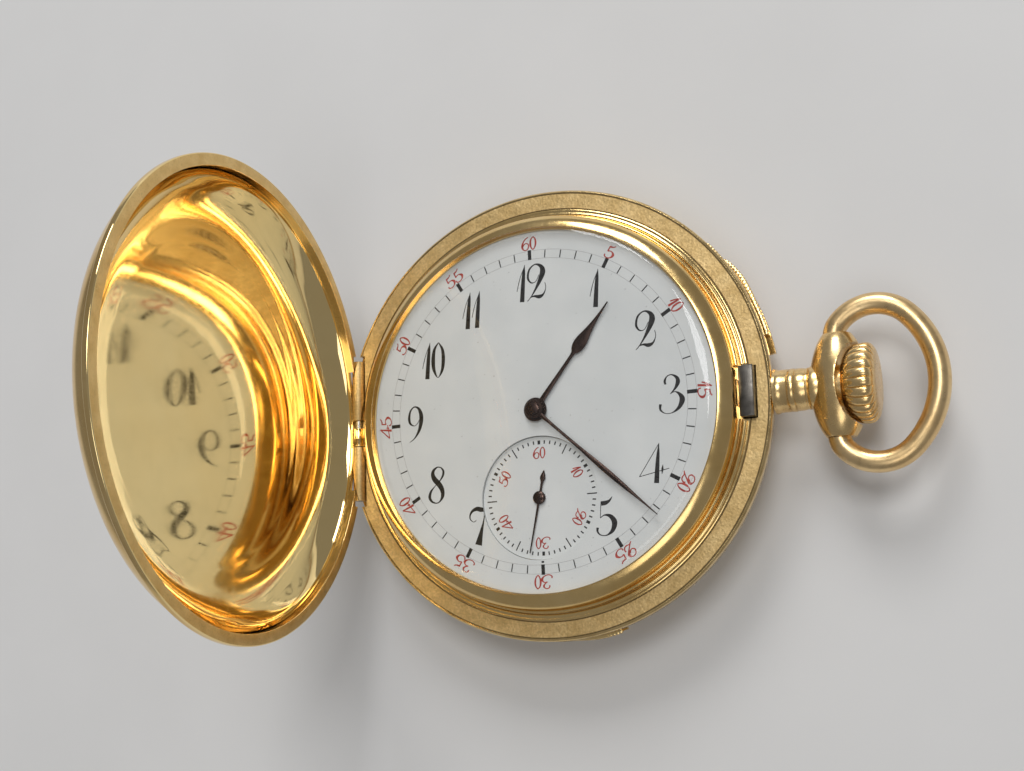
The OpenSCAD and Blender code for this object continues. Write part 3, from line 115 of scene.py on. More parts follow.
class Graph:
    """A material's node tree, with short calls for the nodes used here."""

    def __init__(self, name: str) -> None:
        """Starts a material with its plain shader.

        Args:
            name: The material's name.
        """
        self.material = bpy.data.materials.new(name)
        self.material.use_nodes = True
        self.tree = self.material.node_tree
        self.shader = self.tree.nodes["Principled BSDF"]
        self.place = self.add("TexCoord", "Object", {})

    def add(self, kind: str, output: Key, inputs: dict[Key, object], **settings: str) -> Socket:
        """Adds a node.

        Args:
            kind: The node's type.
            output: The output that is wanted.
            inputs: Values or sockets for its inputs.
            settings: The node's own settings.

        Returns:
            The output's socket.
        """
        node = self.tree.nodes.new("ShaderNode" + kind)
        for key, choice in settings.items():
            setattr(node, key, choice)
        for key, value in inputs.items():
            self.put(node.inputs[key], value)
        return node.outputs[output]

    def set(self, **inputs: object) -> None:
        """Sets the shader's own inputs, by name with _ for a space."""
        for key, value in inputs.items():
            self.put(self.shader.inputs[key.replace("_", " ")], value)

    def put(self, socket: Socket, value: object) -> None:
        """Links a socket to another, or sets its value.

        Args:
            socket: The input.
            value: An output socket, or the value itself.
        """
        if isinstance(value, Socket):
            self.tree.links.new(value, socket)
        elif socket.type == "RGBA":
            socket.default_value = (*value, 1.0)
        else:
            socket.default_value = value

    def noise(self, scale: float, detail: float, stretch: Optional[Triple] = None) -> Socket:
        """Noise over the object's own coordinates.

        Args:
            scale: Waves per metre.
            detail: Octaves.
            stretch: Scale along each axis, for directed marks.

        Returns:
            The noise value's socket.
        """
        place = self.place
        if stretch:
            place = self.add("Mapping", "Vector", {"Vector": place, "Scale": stretch})
        return self.add("TexNoise", "Fac", {"Vector": place, "Scale": scale, "Detail": detail})

    def ramp(self, value: Socket, dark: Colour, light: Colour, stops: Point = NOISE_MIDDLE) -> Socket:
        """Goes from one colour to another along a value.

        Args:
            value: The value's socket.
            dark: Colour up to the first stop.
            light: Colour from the second stop on.
            stops: Values at which the change begins and ends.

        Returns:
            The colour's socket.
        """
        tone = self.add("ValToRGB", "Color", {"Fac": value})
        for element, at, colour in zip(tone.node.color_ramp.elements, stops, (dark, light)):
            element.position = at
            element.color = (*colour, 1.0)
        return tone

    def span(self, value: Socket, low: float, high: float) -> Socket:
        """Maps the middle of a noise value onto a range."""
        ends = zip(("From Min", "From Max", "To Min", "To Max"), (*NOISE_MIDDLE, low, high))
        return self.add("MapRange", "Result", {"Value": value, **dict(ends)})

    def mix(self, share: object, a: object, b: object) -> Socket:
        """Mixes two colours by the second one's share."""
        return self.add("Mix", MIX_RESULT, dict(zip(MIX_INPUTS, (share, a, b))), data_type="RGBA")

    def math(self, operation: str, a: object, b: object = 0.0) -> Socket:
        """Joins two values by one of Blender's maths operations."""
        return self.add("Math", "Value", {0: a, 1: b}, operation=operation)

    def radius(self, place: Socket) -> Socket:
        """Distance of a place from the Z axis."""
        flat = self.add("VectorMath", "Vector", {0: place, 1: (1.0, 1.0, 0.0)}, operation="MULTIPLY")
        return self.add("VectorMath", "Value", {0: flat}, operation="LENGTH")

    def bump(self, height: Socket, strength: float, depth: float, below: Optional[Socket] = None) -> Socket:
        """Relief from a height, over another relief if one is given.

        Args:
            height: The height's socket.
            strength: Share of the relief that shows.
            depth: Height of the relief in metres.
            below: The relief under it.

        Returns:
            The normal's socket.
        """
        inputs = {"Height": height, "Strength": strength, "Distance": depth}
        if below is not None:
            inputs["Normal"] = below
        return self.add("Bump", "Normal", inputs)


def shade(colour: Colour, share: float) -> Colour:
    """A colour at a share of its brightness."""
    return tuple(share * c for c in colour)


# Materials made so far, by name
_made: dict[str, bpy.types.Material] = {}


class Finish:
    """A finish that is built once and shared."""

    name: str

    def material(self) -> bpy.types.Material:
        """Makes the finish's material at its first use.

        Returns:
            The material.
        """
        if self.name not in _made:
            graph = Graph(self.name)
            self.build(graph)
            _made[self.name] = graph.material
        return _made[self.name]

    def build(self, g: Graph) -> None:
        """Builds the node tree in a material's graph."""
        raise NotImplementedError


@dataclass(frozen=True)
class Metal(Finish):
    """Metal with patches of colour, marks of use and fine scratches."""

    name: str
    light: Colour
    dark: Colour
    rough: Point = (0.12, 0.24)
    patch: float = 140.0
    dents: float = 0.0
    scratch: float = 0.15
    speck: float = 0.0
    grime: float = 0.35

    def build(self, g: Graph) -> None:
        """Builds the node tree.

        Args:
            g: The material's graph.
        """
        tone = g.ramp(g.noise(self.patch, 6), self.dark, self.light, PATCH_STOPS)
        grime = g.ramp(g.noise(self.patch * GRIME_FINER, 8), BLACK, WHITE, GRIME_STOPS)
        tone = g.mix(g.math("MULTIPLY", grime, self.grime), tone, shade(self.dark, GRIME_SHADE))
        lines = g.math("MAXIMUM", *(g.noise(WEAR_SCALE, 3, way) for way in SCRATCH_WAYS))
        scratched = g.math("MULTIPLY", g.span(lines, 0, 1), SCRATCH_ROUGH)
        rough = g.math("ADD", g.span(g.noise(WEAR_SCALE, 6), *self.rough), scratched)
        relief = g.bump(lines, self.scratch, SCRATCH_DEPTH)
        if self.speck:
            relief = g.bump(g.noise(SPECK_SCALE, 2), self.speck, SPECK_DEPTH, relief)
        if self.dents:
            relief = g.bump(g.noise(DENT_SCALE, 2), self.dents, DENT_DEPTH, relief)
        g.set(Base_Color=tone, Metallic=1.0, Roughness=rough, Normal=relief)


@dataclass(frozen=True)
class Turned(Finish):
    """Steel wheel with fine circular graining about its own axis."""

    node: str
    light: Colour = (0.56, 0.55, 0.53)
    dark: Colour = (0.44, 0.43, 0.415)
    rough: Point = (0.2, 0.34)
    grooves: float = 17000.0
    relief: float = 0.25
    depth: float = 0.00002

    @property
    def name(self) -> str:
        """The material's name."""
        return f"turned_steel_{self.node}"

    def build(self, g: Graph) -> None:
        """Builds the node tree.

        Args:
            g: The material's graph.
        """
        low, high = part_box(self.node)
        centre = ((low[0] + high[0]) / 2, (low[1] + high[1]) / 2, 0.0)
        radius = g.radius(g.add("VectorMath", "Vector", {0: g.place, 1: centre}, operation="SUBTRACT"))
        spot = g.add("CombineXYZ", "Vector", {"X": radius})
        ring = g.add("TexNoise", "Fac", {"Vector": spot, "Scale": self.grooves})
        g.set(
            Base_Color=g.ramp(ring, self.dark, self.light), Metallic=1.0, Roughness=g.span(ring, *self.rough),
            Normal=g.bump(ring, self.relief, self.depth),
        )


@dataclass(frozen=True)
class SandedFlange(Finish):
    """Gold band whose flange has a sanded track between two fine grooves, whose shade is painted as dark lines."""

    name: str = "sanded_gold"
    light: Colour = (0.93, 0.69, 0.34)
    dark: Colour = (0.7, 0.49, 0.21)
    rough: Point = (0.12, 0.22)
    patch: float = 500.0
    patch_stops: Point = (0.3, 0.68)
    track: Point = (0.02382, 0.02562)
    grain: float = 3800.0
    grain_relief: float = 0.55
    grain_depth: float = 0.00006
    sand_shade: float = 0.72
    sand_share: float = 0.7
    sand_rough: float = 0.33
    # Painted shade in the two fine grooves: half width, colour and share of the dark lines
    groove: float = 0.00007
    groove_tone: Colour = (0.12, 0.07, 0.025)
    groove_share: float = 0.75
    brushing: Triple = (0.2, 5.0, 1.0)
    brush_relief: float = 0.15

    def build(self, g: Graph) -> None:
        """Builds the node tree.

        Args:
            g: The material's graph.
        """
        radius = g.radius(g.place)
        inner, outer = self.track
        sand = g.math("MULTIPLY", g.math("GREATER_THAN", radius, inner), g.math("LESS_THAN", radius, outer))
        # Painted shade: dark lines at both edges of the sanded track stand for the shade in its fine grooves
        lines = g.math("ADD", *(
            g.math("LESS_THAN", g.math("ABSOLUTE", g.math("SUBTRACT", radius, edge)), self.groove)
            for edge in self.track
        ))
        grain = g.noise(self.grain, 3)
        worn = g.ramp(g.noise(self.patch, 5), self.dark, self.light, self.patch_stops)
        speckled = g.mix(g.span(grain, 0.0, 1.0), shade(self.dark, self.sand_shade), worn)
        tone = g.mix(g.math("MULTIPLY", sand, self.sand_share), worn, speckled)
        tone = g.mix(g.math("MULTIPLY", lines, self.groove_share), tone, self.groove_tone)
        sanded = g.math("MULTIPLY", sand, self.sand_rough)
        rough = g.math("ADD", g.span(g.noise(WEAR_SCALE, 5), *self.rough), sanded)
        relief = g.bump(g.math("MULTIPLY", grain, sand), self.grain_relief, self.grain_depth)
        relief = g.bump(g.noise(WEAR_SCALE, 3, self.brushing), self.brush_relief, SCRATCH_DEPTH, relief)
        g.set(Base_Color=tone, Metallic=1.0, Roughness=rough, Normal=relief)


@dataclass(frozen=True)
class Enamel(Finish):
    """White enamel with faint clouding and a few specks."""

    name: str = "white_enamel"
    light: Colour = (0.78, 0.80, 0.79)
    dark: Colour = (0.70, 0.725, 0.72)
    rough: Point = (0.08, 0.16)
    rough_scale: float = 500.0
    clouds: float = 160.0
    specks: float = 2600.0
    speck_stops: Point = (0.74, 0.79)
    speck_tone: Colour = (0.25, 0.24, 0.22)
    speck_share: float = 0.5
    waves: float = 220.0
    wave_relief: float = 0.03
    wave_depth: float = 0.0002

    def build(self, g: Graph) -> None:
        """Builds the node tree.

        Args:
            g: The material's graph.
        """
        tone = g.ramp(g.noise(self.clouds, 5), self.dark, self.light)
        specks = g.ramp(g.noise(self.specks, 1), BLACK, WHITE, self.speck_stops)
        tone = g.mix(g.math("MULTIPLY", specks, self.speck_share), tone, self.speck_tone)
        relief = g.bump(g.noise(self.waves, 2), self.wave_relief, self.wave_depth)
        g.set(Base_Color=tone, Roughness=g.span(g.noise(self.rough_scale, 3), *self.rough), Normal=relief)


@dataclass(frozen=True)
class Ink(Finish):
    """Fired ink, a little uneven."""

    name: str
    light: Colour
    dark: Colour
    rough: Point = (0.25, 0.4)
    rough_scale: float = 2500.0
    clouds: float = 1500.0
    cloud_stops: Point = (0.35, 0.65)

    def build(self, g: Graph) -> None:
        """Builds the node tree."""
        tone = g.ramp(g.noise(self.clouds, 3), self.dark, self.light, self.cloud_stops)
        g.set(Base_Color=tone, Roughness=g.span(g.noise(self.rough_scale, 2), *self.rough))


@dataclass(frozen=True)
class Glass(Finish):
    """Clear glass: what it reflects grows towards grazing sight."""

    name: str = "crystal_glass"
    least: float = 0.04
    most: float = 0.6
    growth: float = 5.0
    rough: Point = (0.015, 0.04)
    smears: float = 400.0

    def build(self, g: Graph) -> None:
        """Builds the node tree.

        Args:
            g: The material's graph.
        """
        graze = g.math("POWER", g.add("LayerWeight", "Facing", {"Blend": 0.5}), self.growth)
        sheen = g.math("ADD", g.math("MULTIPLY", graze, self.most - self.least), self.least)
        g.set(Base_Color=WHITE, Metallic=1.0, Roughness=g.span(g.noise(self.smears, 2), *self.rough))
        g.set(Alpha=self.least)
        g.set(Alpha=sheen)


@dataclass(frozen=True)
class Clouded(Finish):
    """A slightly uneven colour with an even gloss."""

    name: str
    light: Colour
    dark: Colour
    rough: float
    clouds: float
    detail: float
    coat: float = 0.0

    def build(self, g: Graph) -> None:
        """Builds the node tree."""
        tone = g.ramp(g.noise(self.clouds, self.detail), self.dark, self.light)
        g.set(Base_Color=tone, Roughness=self.rough, Coat_Weight=self.coat)


GOLD_LIGHT: Colour = (0.94, 0.69, 0.32)
GOLD_DARK: Colour = (0.82, 0.55, 0.21)
POLISHED = Metal("polished_gold", GOLD_LIGHT, GOLD_DARK, (0.1, 0.18), scratch=0.05, grime=0.12)
HANDLED = Metal("handled_gold", (0.93, 0.7, 0.38), (0.8, 0.55, 0.26), (0.24, 0.34), scratch=0.15)
WORN = Metal("worn_gold", (0.94, 0.69, 0.34), (0.8, 0.54, 0.23), (0.17, 0.27), scratch=0.1, grime=0.25)
MIRROR = Metal(
    "mirror_gold", (1.0, 0.77, 0.37), (0.99, 0.72, 0.31), (0.012, 0.035), 60.0, 0.014, 0.012, grime=0.06
)
SATIN = Metal("satin_gold", (0.86, 0.61, 0.26), (0.72, 0.48, 0.18), (0.24, 0.38), 600.0, scratch=0.4, speck=0.7)
SANDED = SandedFlange()
DARK_STEEL = Metal("dark_steel", (0.2, 0.185, 0.165), (0.09, 0.082, 0.072), (0.24, 0.38), 500.0, scratch=0.3)
STEEL = Metal("grey_steel", (0.5, 0.49, 0.475), (0.4, 0.39, 0.38), (0.2, 0.32), 700.0, scratch=0.25, grime=0.2)
BROWNED = Metal("browned_steel", (0.085, 0.055, 0.045), (0.04, 0.024, 0.02), (0.2, 0.32), 300.0)
BLUED = Metal("blued_steel", (0.1, 0.16, 0.45), (0.05, 0.08, 0.28), (0.18, 0.28), 300.0)
GILT = Metal("frosted_gilt", (0.84, 0.62, 0.27), (0.7, 0.48, 0.18), (0.34, 0.46), 300.0, scratch=0.1, speck=0.5)
ENAMEL = Enamel()
BLACK_INK = Ink("black_ink", (0.022, 0.021, 0.021), (0.012, 0.012, 0.012))
GREY_INK = Ink("grey_ink", (0.42, 0.41, 0.4), (0.3, 0.3, 0.3))
RED_INK = Ink("red_ink", (0.5, 0.075, 0.055), (0.36, 0.045, 0.035))
GLASS = Glass()
GLASS_UNDERSIDE = Glass("crystal_underside", 0.004, 0.3)
RUBY = Clouded("ruby", (0.55, 0.03, 0.09), (0.3, 0.01, 0.04), 0.06, 900.0, 2.0, coat=0.6)
FLOOR = Clouded("pale_floor", (0.77, 0.765, 0.755), (0.74, 0.735, 0.725), 0.7, 40.0, 4.0)


# Mesh tools


def polar(r: float, degrees: float) -> Point:
    """Point at a radius and an angle."""
    a = math.radians(degrees)
    return r * math.cos(a), r * math.sin(a)


def rotated(spot: Point, degrees: float, centre: Point = (0.0, 0.0)) -> Point:
    """Point that is turned about the origin and then moved by a centre."""
    c, s = polar(1, degrees)
    return centre[0] + spot[0] * c - spot[1] * s, centre[1] + spot[0] * s + spot[1] * c


def arc(centre: Point, r: float, a0: float, a1: float, steps: int) -> list[Point]:
    """Points along an arc."""
    spots = (polar(r, a0 + (a1 - a0) * i / steps) for i in range(steps + 1))
    return [(centre[0] + x, centre[1] + y) for x, y in spots]


def smooth_path(points: Sequence[Sequence[float]], steps: int) -> list[tuple[float, ...]]:
    """Points along a curve that passes through the given ones.

    Args:
        points: Points of any size.
        steps: Steps between two of them.

    Returns:
        The curve's points.
    """
    if len(points) < 3:
        a, b = points
        return [tuple(u + (v - u) * i / steps for u, v in zip(a, b)) for i in range(steps + 1)]
    made = []
    for i in range(len(points) - 1):
        four = [points[max(0, min(len(points) - 1, i + k))] for k in (-1, 0, 1, 2)]
        for j in range(steps):
            t = j / steps
            # Catmull-Rom weights of the four points
            share = (
                -0.5 * t + t * t - 0.5 * t**3,
                1 - 2.5 * t * t + 1.5 * t**3,
                0.5 * t + 2 * t * t - 1.5 * t**3,
                -0.5 * t * t + 0.5 * t**3,
            )
            made.append(tuple(sum(s * p[k] for s, p in zip(share, four)) for k in range(len(points[0]))))
    return made + [tuple(points[-1])]


class Shape:
    """A mesh in millimetres that is under construction."""

    def __init__(self) -> None:
        """Starts an empty mesh."""
        self.bm = bmesh.new()

    def line(
        self, points: Sequence[Sequence[float]], closed: bool
    ) -> tuple[list[bmesh.types.BMVert], list[bmesh.types.BMEdge]]:
        """Draws a line through points.

        Args:
            points: The points.
            closed: True if the last one joins the first.

        Returns:
            The line's vertices and edges.
        """
        verts = [self.bm.verts.new(p) for p in points]
        after = verts[1:] + verts[:1] if closed else verts[1:]
        return verts, [self.bm.edges.new(pair) for pair in zip(verts, after)]

    def lathe(self, profile: Sequence[Point], steps: int, closed: bool = True) -> "Shape":
        """Turns a profile about the Z axis.

        Args:
            profile: Points of radius and height.
            steps: Steps of the full turn.
            closed: True if the profile is a ring.

        Returns:
            The shape itself.
        """
        verts, edges = self.line([(r, 0, z) for r, z in profile], closed)
        bmesh.ops.spin(
            self.bm, geom=verts + edges, axis=(0, 0, 1), cent=(0, 0, 0), angle=math.tau, steps=steps, use_merge=True
        )
        bmesh.ops.remove_doubles(self.bm, verts=self.bm.verts, dist=WELD_TURNED)
        return self

    def rows(self, rows: Sequence[Sequence[Sequence[float]]]) -> "Shape":
        """Extrudes a closed outline from station to station, and closes both ends.

        Args:
            rows: The outline's points at each station.

        Returns:
            The shape itself.
        """
        ring, edges = self.line(rows[0], True)
        bmesh.ops.edgeloop_fill(self.bm, edges=edges)
        for row in rows[1:]:
            made = set(bmesh.ops.extrude_edge_only(self.bm, edges=edges)["geom"])
            ring = [next(e.other_vert(v) for e in v.link_edges if e.other_vert(v) in made) for v in ring]
            for vert, spot in zip(ring, row):
                vert.co = spot
            edges = [self.bm.edges.get(pair) for pair in zip(ring, ring[1:] + ring[:1])]
        bmesh.ops.edgeloop_fill(self.bm, edges=edges)
        return self

    def face(self, points: Sequence[Point], z: float) -> "Shape":
        """One flat face at a height."""
        self.bm.faces.new([self.bm.verts.new((x, y, z)) for x, y in points])
        return self

    def move(self, matrix: Matrix) -> "Shape":
        """Moves everything made so far."""
        bmesh.ops.transform(self.bm, matrix=matrix, verts=self.bm.verts)
        return self

    def outward(self) -> "Shape":
        """Turns all faces outwards."""
        bmesh.ops.recalc_face_normals(self.bm, faces=self.bm.faces)
        return self

    def join(self, other: "Shape") -> "Shape":
        """Takes over another shape's faces.

        Args:
            other: The other shape, which is used up.

        Returns:
            The shape itself.
        """
        spare = bpy.data.meshes.new("spare")
        other.bm.to_mesh(spare)
        other.bm.free()
        self.bm.from_mesh(spare)
        bpy.data.meshes.remove(spare)
        return self

    def bevel(self, width: float, angle: float = 30) -> "Shape":
        """Rounds the edges that are sharper than an angle.

        Args:
            width: The rounding's width.
            angle: The angle in degrees.

        Returns:
            The shape itself.
        """
        self.outward()
        sharp = [e for e in self.bm.edges if len(e.link_faces) == 2 and e.calc_face_angle() > math.radians(angle)]
        bmesh.ops.bevel(
            self.bm, geom=sharp, offset=width, offset_type="OFFSET", affect="EDGES", segments=2, profile=0.5,
            material=-1, clamp_overlap=True,
        )
        return self

    def cut(self, *tools: "Shape") -> "Shape":
        """Cuts other shapes out of this one.

        Args:
            tools: The other shapes, which are used up.

        Returns:
            The shape itself.
        """
        target = self.outward().to_object("cut_target")
        for tool in tools:
            cutter = tool.outward().to_object("cut_tool")
            modifier = target.modifiers.new("cut", "BOOLEAN")
            modifier.operation, modifier.solver, modifier.object = "DIFFERENCE", "EXACT", cutter
            bpy.context.view_layer.update()
            cut = bpy.data.meshes.new_from_object(target.evaluated_get(bpy.context.evaluated_depsgraph_get()))
            target.modifiers.clear()
            target.data = cut
            bpy.data.objects.remove(cutter)
        self.bm = bmesh.new()
        self.bm.from_mesh(target.data)
        bpy.data.objects.remove(target)
        return self

    def to_object(self, name: str) -> bpy.types.Object:
        """Ends the construction.

        Args:
            name: Name of the object and its mesh.

        Returns:
            The object, in the scene.
        """
        mesh = bpy.data.meshes.new(name)
        self.bm.to_mesh(mesh)
        self.bm.free()
        made = bpy.data.objects.new(name, mesh)
        bpy.context.scene.collection.objects.link(made)
        return made

    def in_metres(self) -> "Shape":
        """Scales everything made so far to metres."""
        bmesh.ops.scale(self.bm, vec=(MM,) * 3, verts=self.bm.verts)
        return self

    def piece(
        self,
        name: str,
        finish: Finish,
        body: Body,
        slot: Optional[Slot] = None,
        replaces: Sequence[str] = (),
        smooth: float = 35,
        upward: bool = False,
    ) -> bpy.types.Object:
        """Finishes the shape as a piece of the object.

        Args:
            name: The piece's name.
            finish: Its finish.
            body: The body it rides on.
            slot: The record's material slot; not used.
            replaces: Frame nodes that it stands for.
            smooth: Angle above which an edge stays sharp.
            upward: True for flat print, whose faces all look up.

        Returns:
            The object.
        """
        bmesh.ops.remove_doubles(self.bm, verts=self.bm.verts, dist=WELD_PIECE)
        self.in_metres()
        if upward:
            for f in self.bm.faces:
                f.normal_update()
                if f.normal.z < 0:
                    f.normal_flip()
        else:
            self.outward()
        made = self.to_object(name)
        mesh = made.data
        mesh.polygons.foreach_set("use_smooth", [True] * len(mesh.polygons))
        mesh.set_sharp_from_angle(angle=math.radians(smooth))
        mesh.materials.append(finish.material())
        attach(made, body.value)
        if replaces:
            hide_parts(*replaces)
        LOG.info("%s: %d faces", name, len(mesh.polygons))
        return made


def block(low: Sequence[float], high: Sequence[float]) -> Shape:
    """Makes a box between two corners.

    Args:
        low: The corner with the lower coordinates.
        high: The corner with the higher ones.

    Returns:
        The shape.
    """
    made, a, b = Shape(), Vector(low), Vector(high)
    bmesh.ops.create_cube(made.bm, size=1.0, matrix=Matrix.LocRotScale((a + b) / 2, None, b - a))
    return made


def swept(stations: Iterable[tuple[float, Sequence[Point]]]) -> Shape:
    """Skins sections that stand at angles about the Z axis.

    Args:
        stations: Angles in degrees with the section's points of radius and height there.

    Returns:
        The shape.
    """
    rows = []
    for degrees, section in stations:
        c, s = polar(1, degrees)
        rows.append([(r * c, r * s, z) for r, z in section])
    return Shape().rows(rows)


def along_x(profile: Sequence[Point], z: float, steps: int = 72) -> Shape:
    """Turns a profile of (radius, x) about the line along X at a height."""
    place = Matrix.Translation((0, 0, z)) @ Matrix.Rotation(math.radians(90), 4, "Y")
    return Shape().lathe(profile, steps, closed=False).move(place)


def along_y(profile: Sequence[Point], x: float, z: float, steps: int = 48) -> Shape:
    """Turns a profile of (radius, y) about the line along Y through (x, z)."""
    place = Matrix.Translation((x, 0, z)) @ Matrix.Rotation(math.radians(-90), 4, "X")
    return Shape().lathe(profile, steps, closed=False).move(place)


# Print on the dials

# Advance of each digit and its strokes through points of x, y and line width, in shares of its height
DIGITS: dict[str, tuple[float, tuple[Stroke, ...]]] = {
    "0": (0.42, (
        ((0.23, 0.985, 0.02), (0.1, 0.8, 0.08), (0.055, 0.5, 0.115), (0.08, 0.22, 0.09), (0.19, 0.015, 0.02),
         (0.32, 0.2, 0.08), (0.365, 0.5, 0.105), (0.34, 0.78, 0.08), (0.23, 0.985, 0.02)),
    )),
    "1": (0.28, (
        ((0.245, 1.0, 0.008), (0.215, 0.8, 0.08), (0.185, 0.5, 0.11), (0.145, 0.0, 0.13)),
        ((0.225, 0.93, 0.02), (0.12, 0.7, 0.016), (0.05, 0.48, 0.022), (0.005, 0.3, 0.012)),
    )),
    "2": (0.58, (
        ((0.37, 0.68, 0.012), (0.27, 0.51, 0.014), (0.14, 0.49, 0.035), (0.05, 0.63, 0.06), (0.1, 0.86, 0.05),
         (0.27, 0.975, 0.035), (0.43, 0.9, 0.1), (0.475, 0.75, 0.155), (0.4, 0.55, 0.12), (0.26, 0.3, 0.06),
         (0.12, 0.1, 0.025), (0.02, 0.0, 0.02)),
        ((0.1, 0.09, 0.02), (0.22, 0.115, 0.05), (0.36, 0.085, 0.1), (0.48, 0.14, 0.05), (0.55, 0.3, 0.015),
         (0.53, 0.45, 0.012)),
    )),
    "3": (0.66, (
        ((0.215, 0.75, 0.05), (0.2, 0.84, 0.06), (0.26, 0.95, 0.03), (0.38, 0.985, 0.03), (0.51, 0.9, 0.08),
         (0.535, 0.78, 0.11), (0.46, 0.63, 0.06), (0.33, 0.5, 0.012)),
        ((0.33, 0.5, 0.012), (0.45, 0.545, 0.02), (0.57, 0.47, 0.08), (0.63, 0.33, 0.14), (0.54, 0.14, 0.09),
         (0.36, 0.02, 0.025), (0.18, 0.02, 0.02), (0.06, 0.12, 0.05), (0.065, 0.26, 0.075)),
    )),
    "4": (0.7, (
        ((0.54, 1.0, 0.008), (0.51, 0.75, 0.075), (0.475, 0.4, 0.11), (0.44, 0.0, 0.13)),
        ((0.535, 0.985, 0.014), (0.0, 0.19, 0.014)),
        ((0.0, 0.19, 0.016), (0.78, 0.35, 0.012)),
        ((0.62, 0.45, 0.008), (0.605, 0.34, 0.055), (0.59, 0.22, 0.008)),
    )),
    "5": (0.56, (
        ((0.16, 0.83, 0.115), (0.27, 0.84, 0.11), (0.38, 0.89, 0.06), (0.46, 0.99, 0.012)),
        ((0.155, 0.88, 0.016), (0.125, 0.46, 0.016)),
        ((0.125, 0.46, 0.016), (0.24, 0.53, 0.035), (0.4, 0.49, 0.1), (0.5, 0.33, 0.145), (0.44, 0.13, 0.1),
         (0.28, 0.015, 0.03), (0.12, 0.03, 0.03), (0.04, 0.12, 0.05), (0.045, 0.22, 0.07)),
    )),
    "7": (0.48, (
        ((0.2, 0.66, 0.012), (0.12, 0.62, 0.014), (0.03, 0.69, 0.03), (0.02, 0.8, 0.045), (0.09, 0.91, 0.07),
         (0.22, 0.965, 0.11), (0.34, 0.94, 0.125), (0.44, 0.93, 0.09)),
        ((0.46, 0.97, 0.02), (0.42, 0.66, 0.035), (0.34, 0.35, 0.1), (0.25, 0.0, 0.2)),
    )),
    "8": (0.48, (
        ((0.39, 0.97, 0.03), (0.28, 0.985, 0.035), (0.165, 0.9, 0.08), (0.14, 0.78, 0.115), (0.2, 0.65, 0.145),
         (0.32, 0.52, 0.15), (0.41, 0.37, 0.13), (0.425, 0.2, 0.1), (0.34, 0.05, 0.04), (0.22, 0.01, 0.03),
         (0.09, 0.07, 0.06), (0.035, 0.19, 0.085), (0.08, 0.34, 0.06), (0.2, 0.47, 0.02), (0.34, 0.6, 0.03),
         (0.44, 0.74, 0.06), (0.46, 0.87, 0.06), (0.39, 0.97, 0.03)),
    )),
    "9": (0.46, (
        ((0.37, 0.66, 0.012), (0.3, 0.53, 0.014), (0.19, 0.46, 0.02), (0.07, 0.53, 0.06), (0.035, 0.68, 0.075),
         (0.08, 0.88, 0.05), (0.2, 0.985, 0.035), (0.33, 0.93, 0.07), (0.4, 0.77, 0.115), (0.405, 0.58, 0.12),
         (0.34, 0.33, 0.085), (0.2, 0.12, 0.035), (0.04, 0.01, 0.014)),
    )),
}
DIGITS["6"] = (0.46, tuple(tuple((0.44 - x, 1 - y, w) for x, y, w in s) for s in DIGITS["9"][1]))


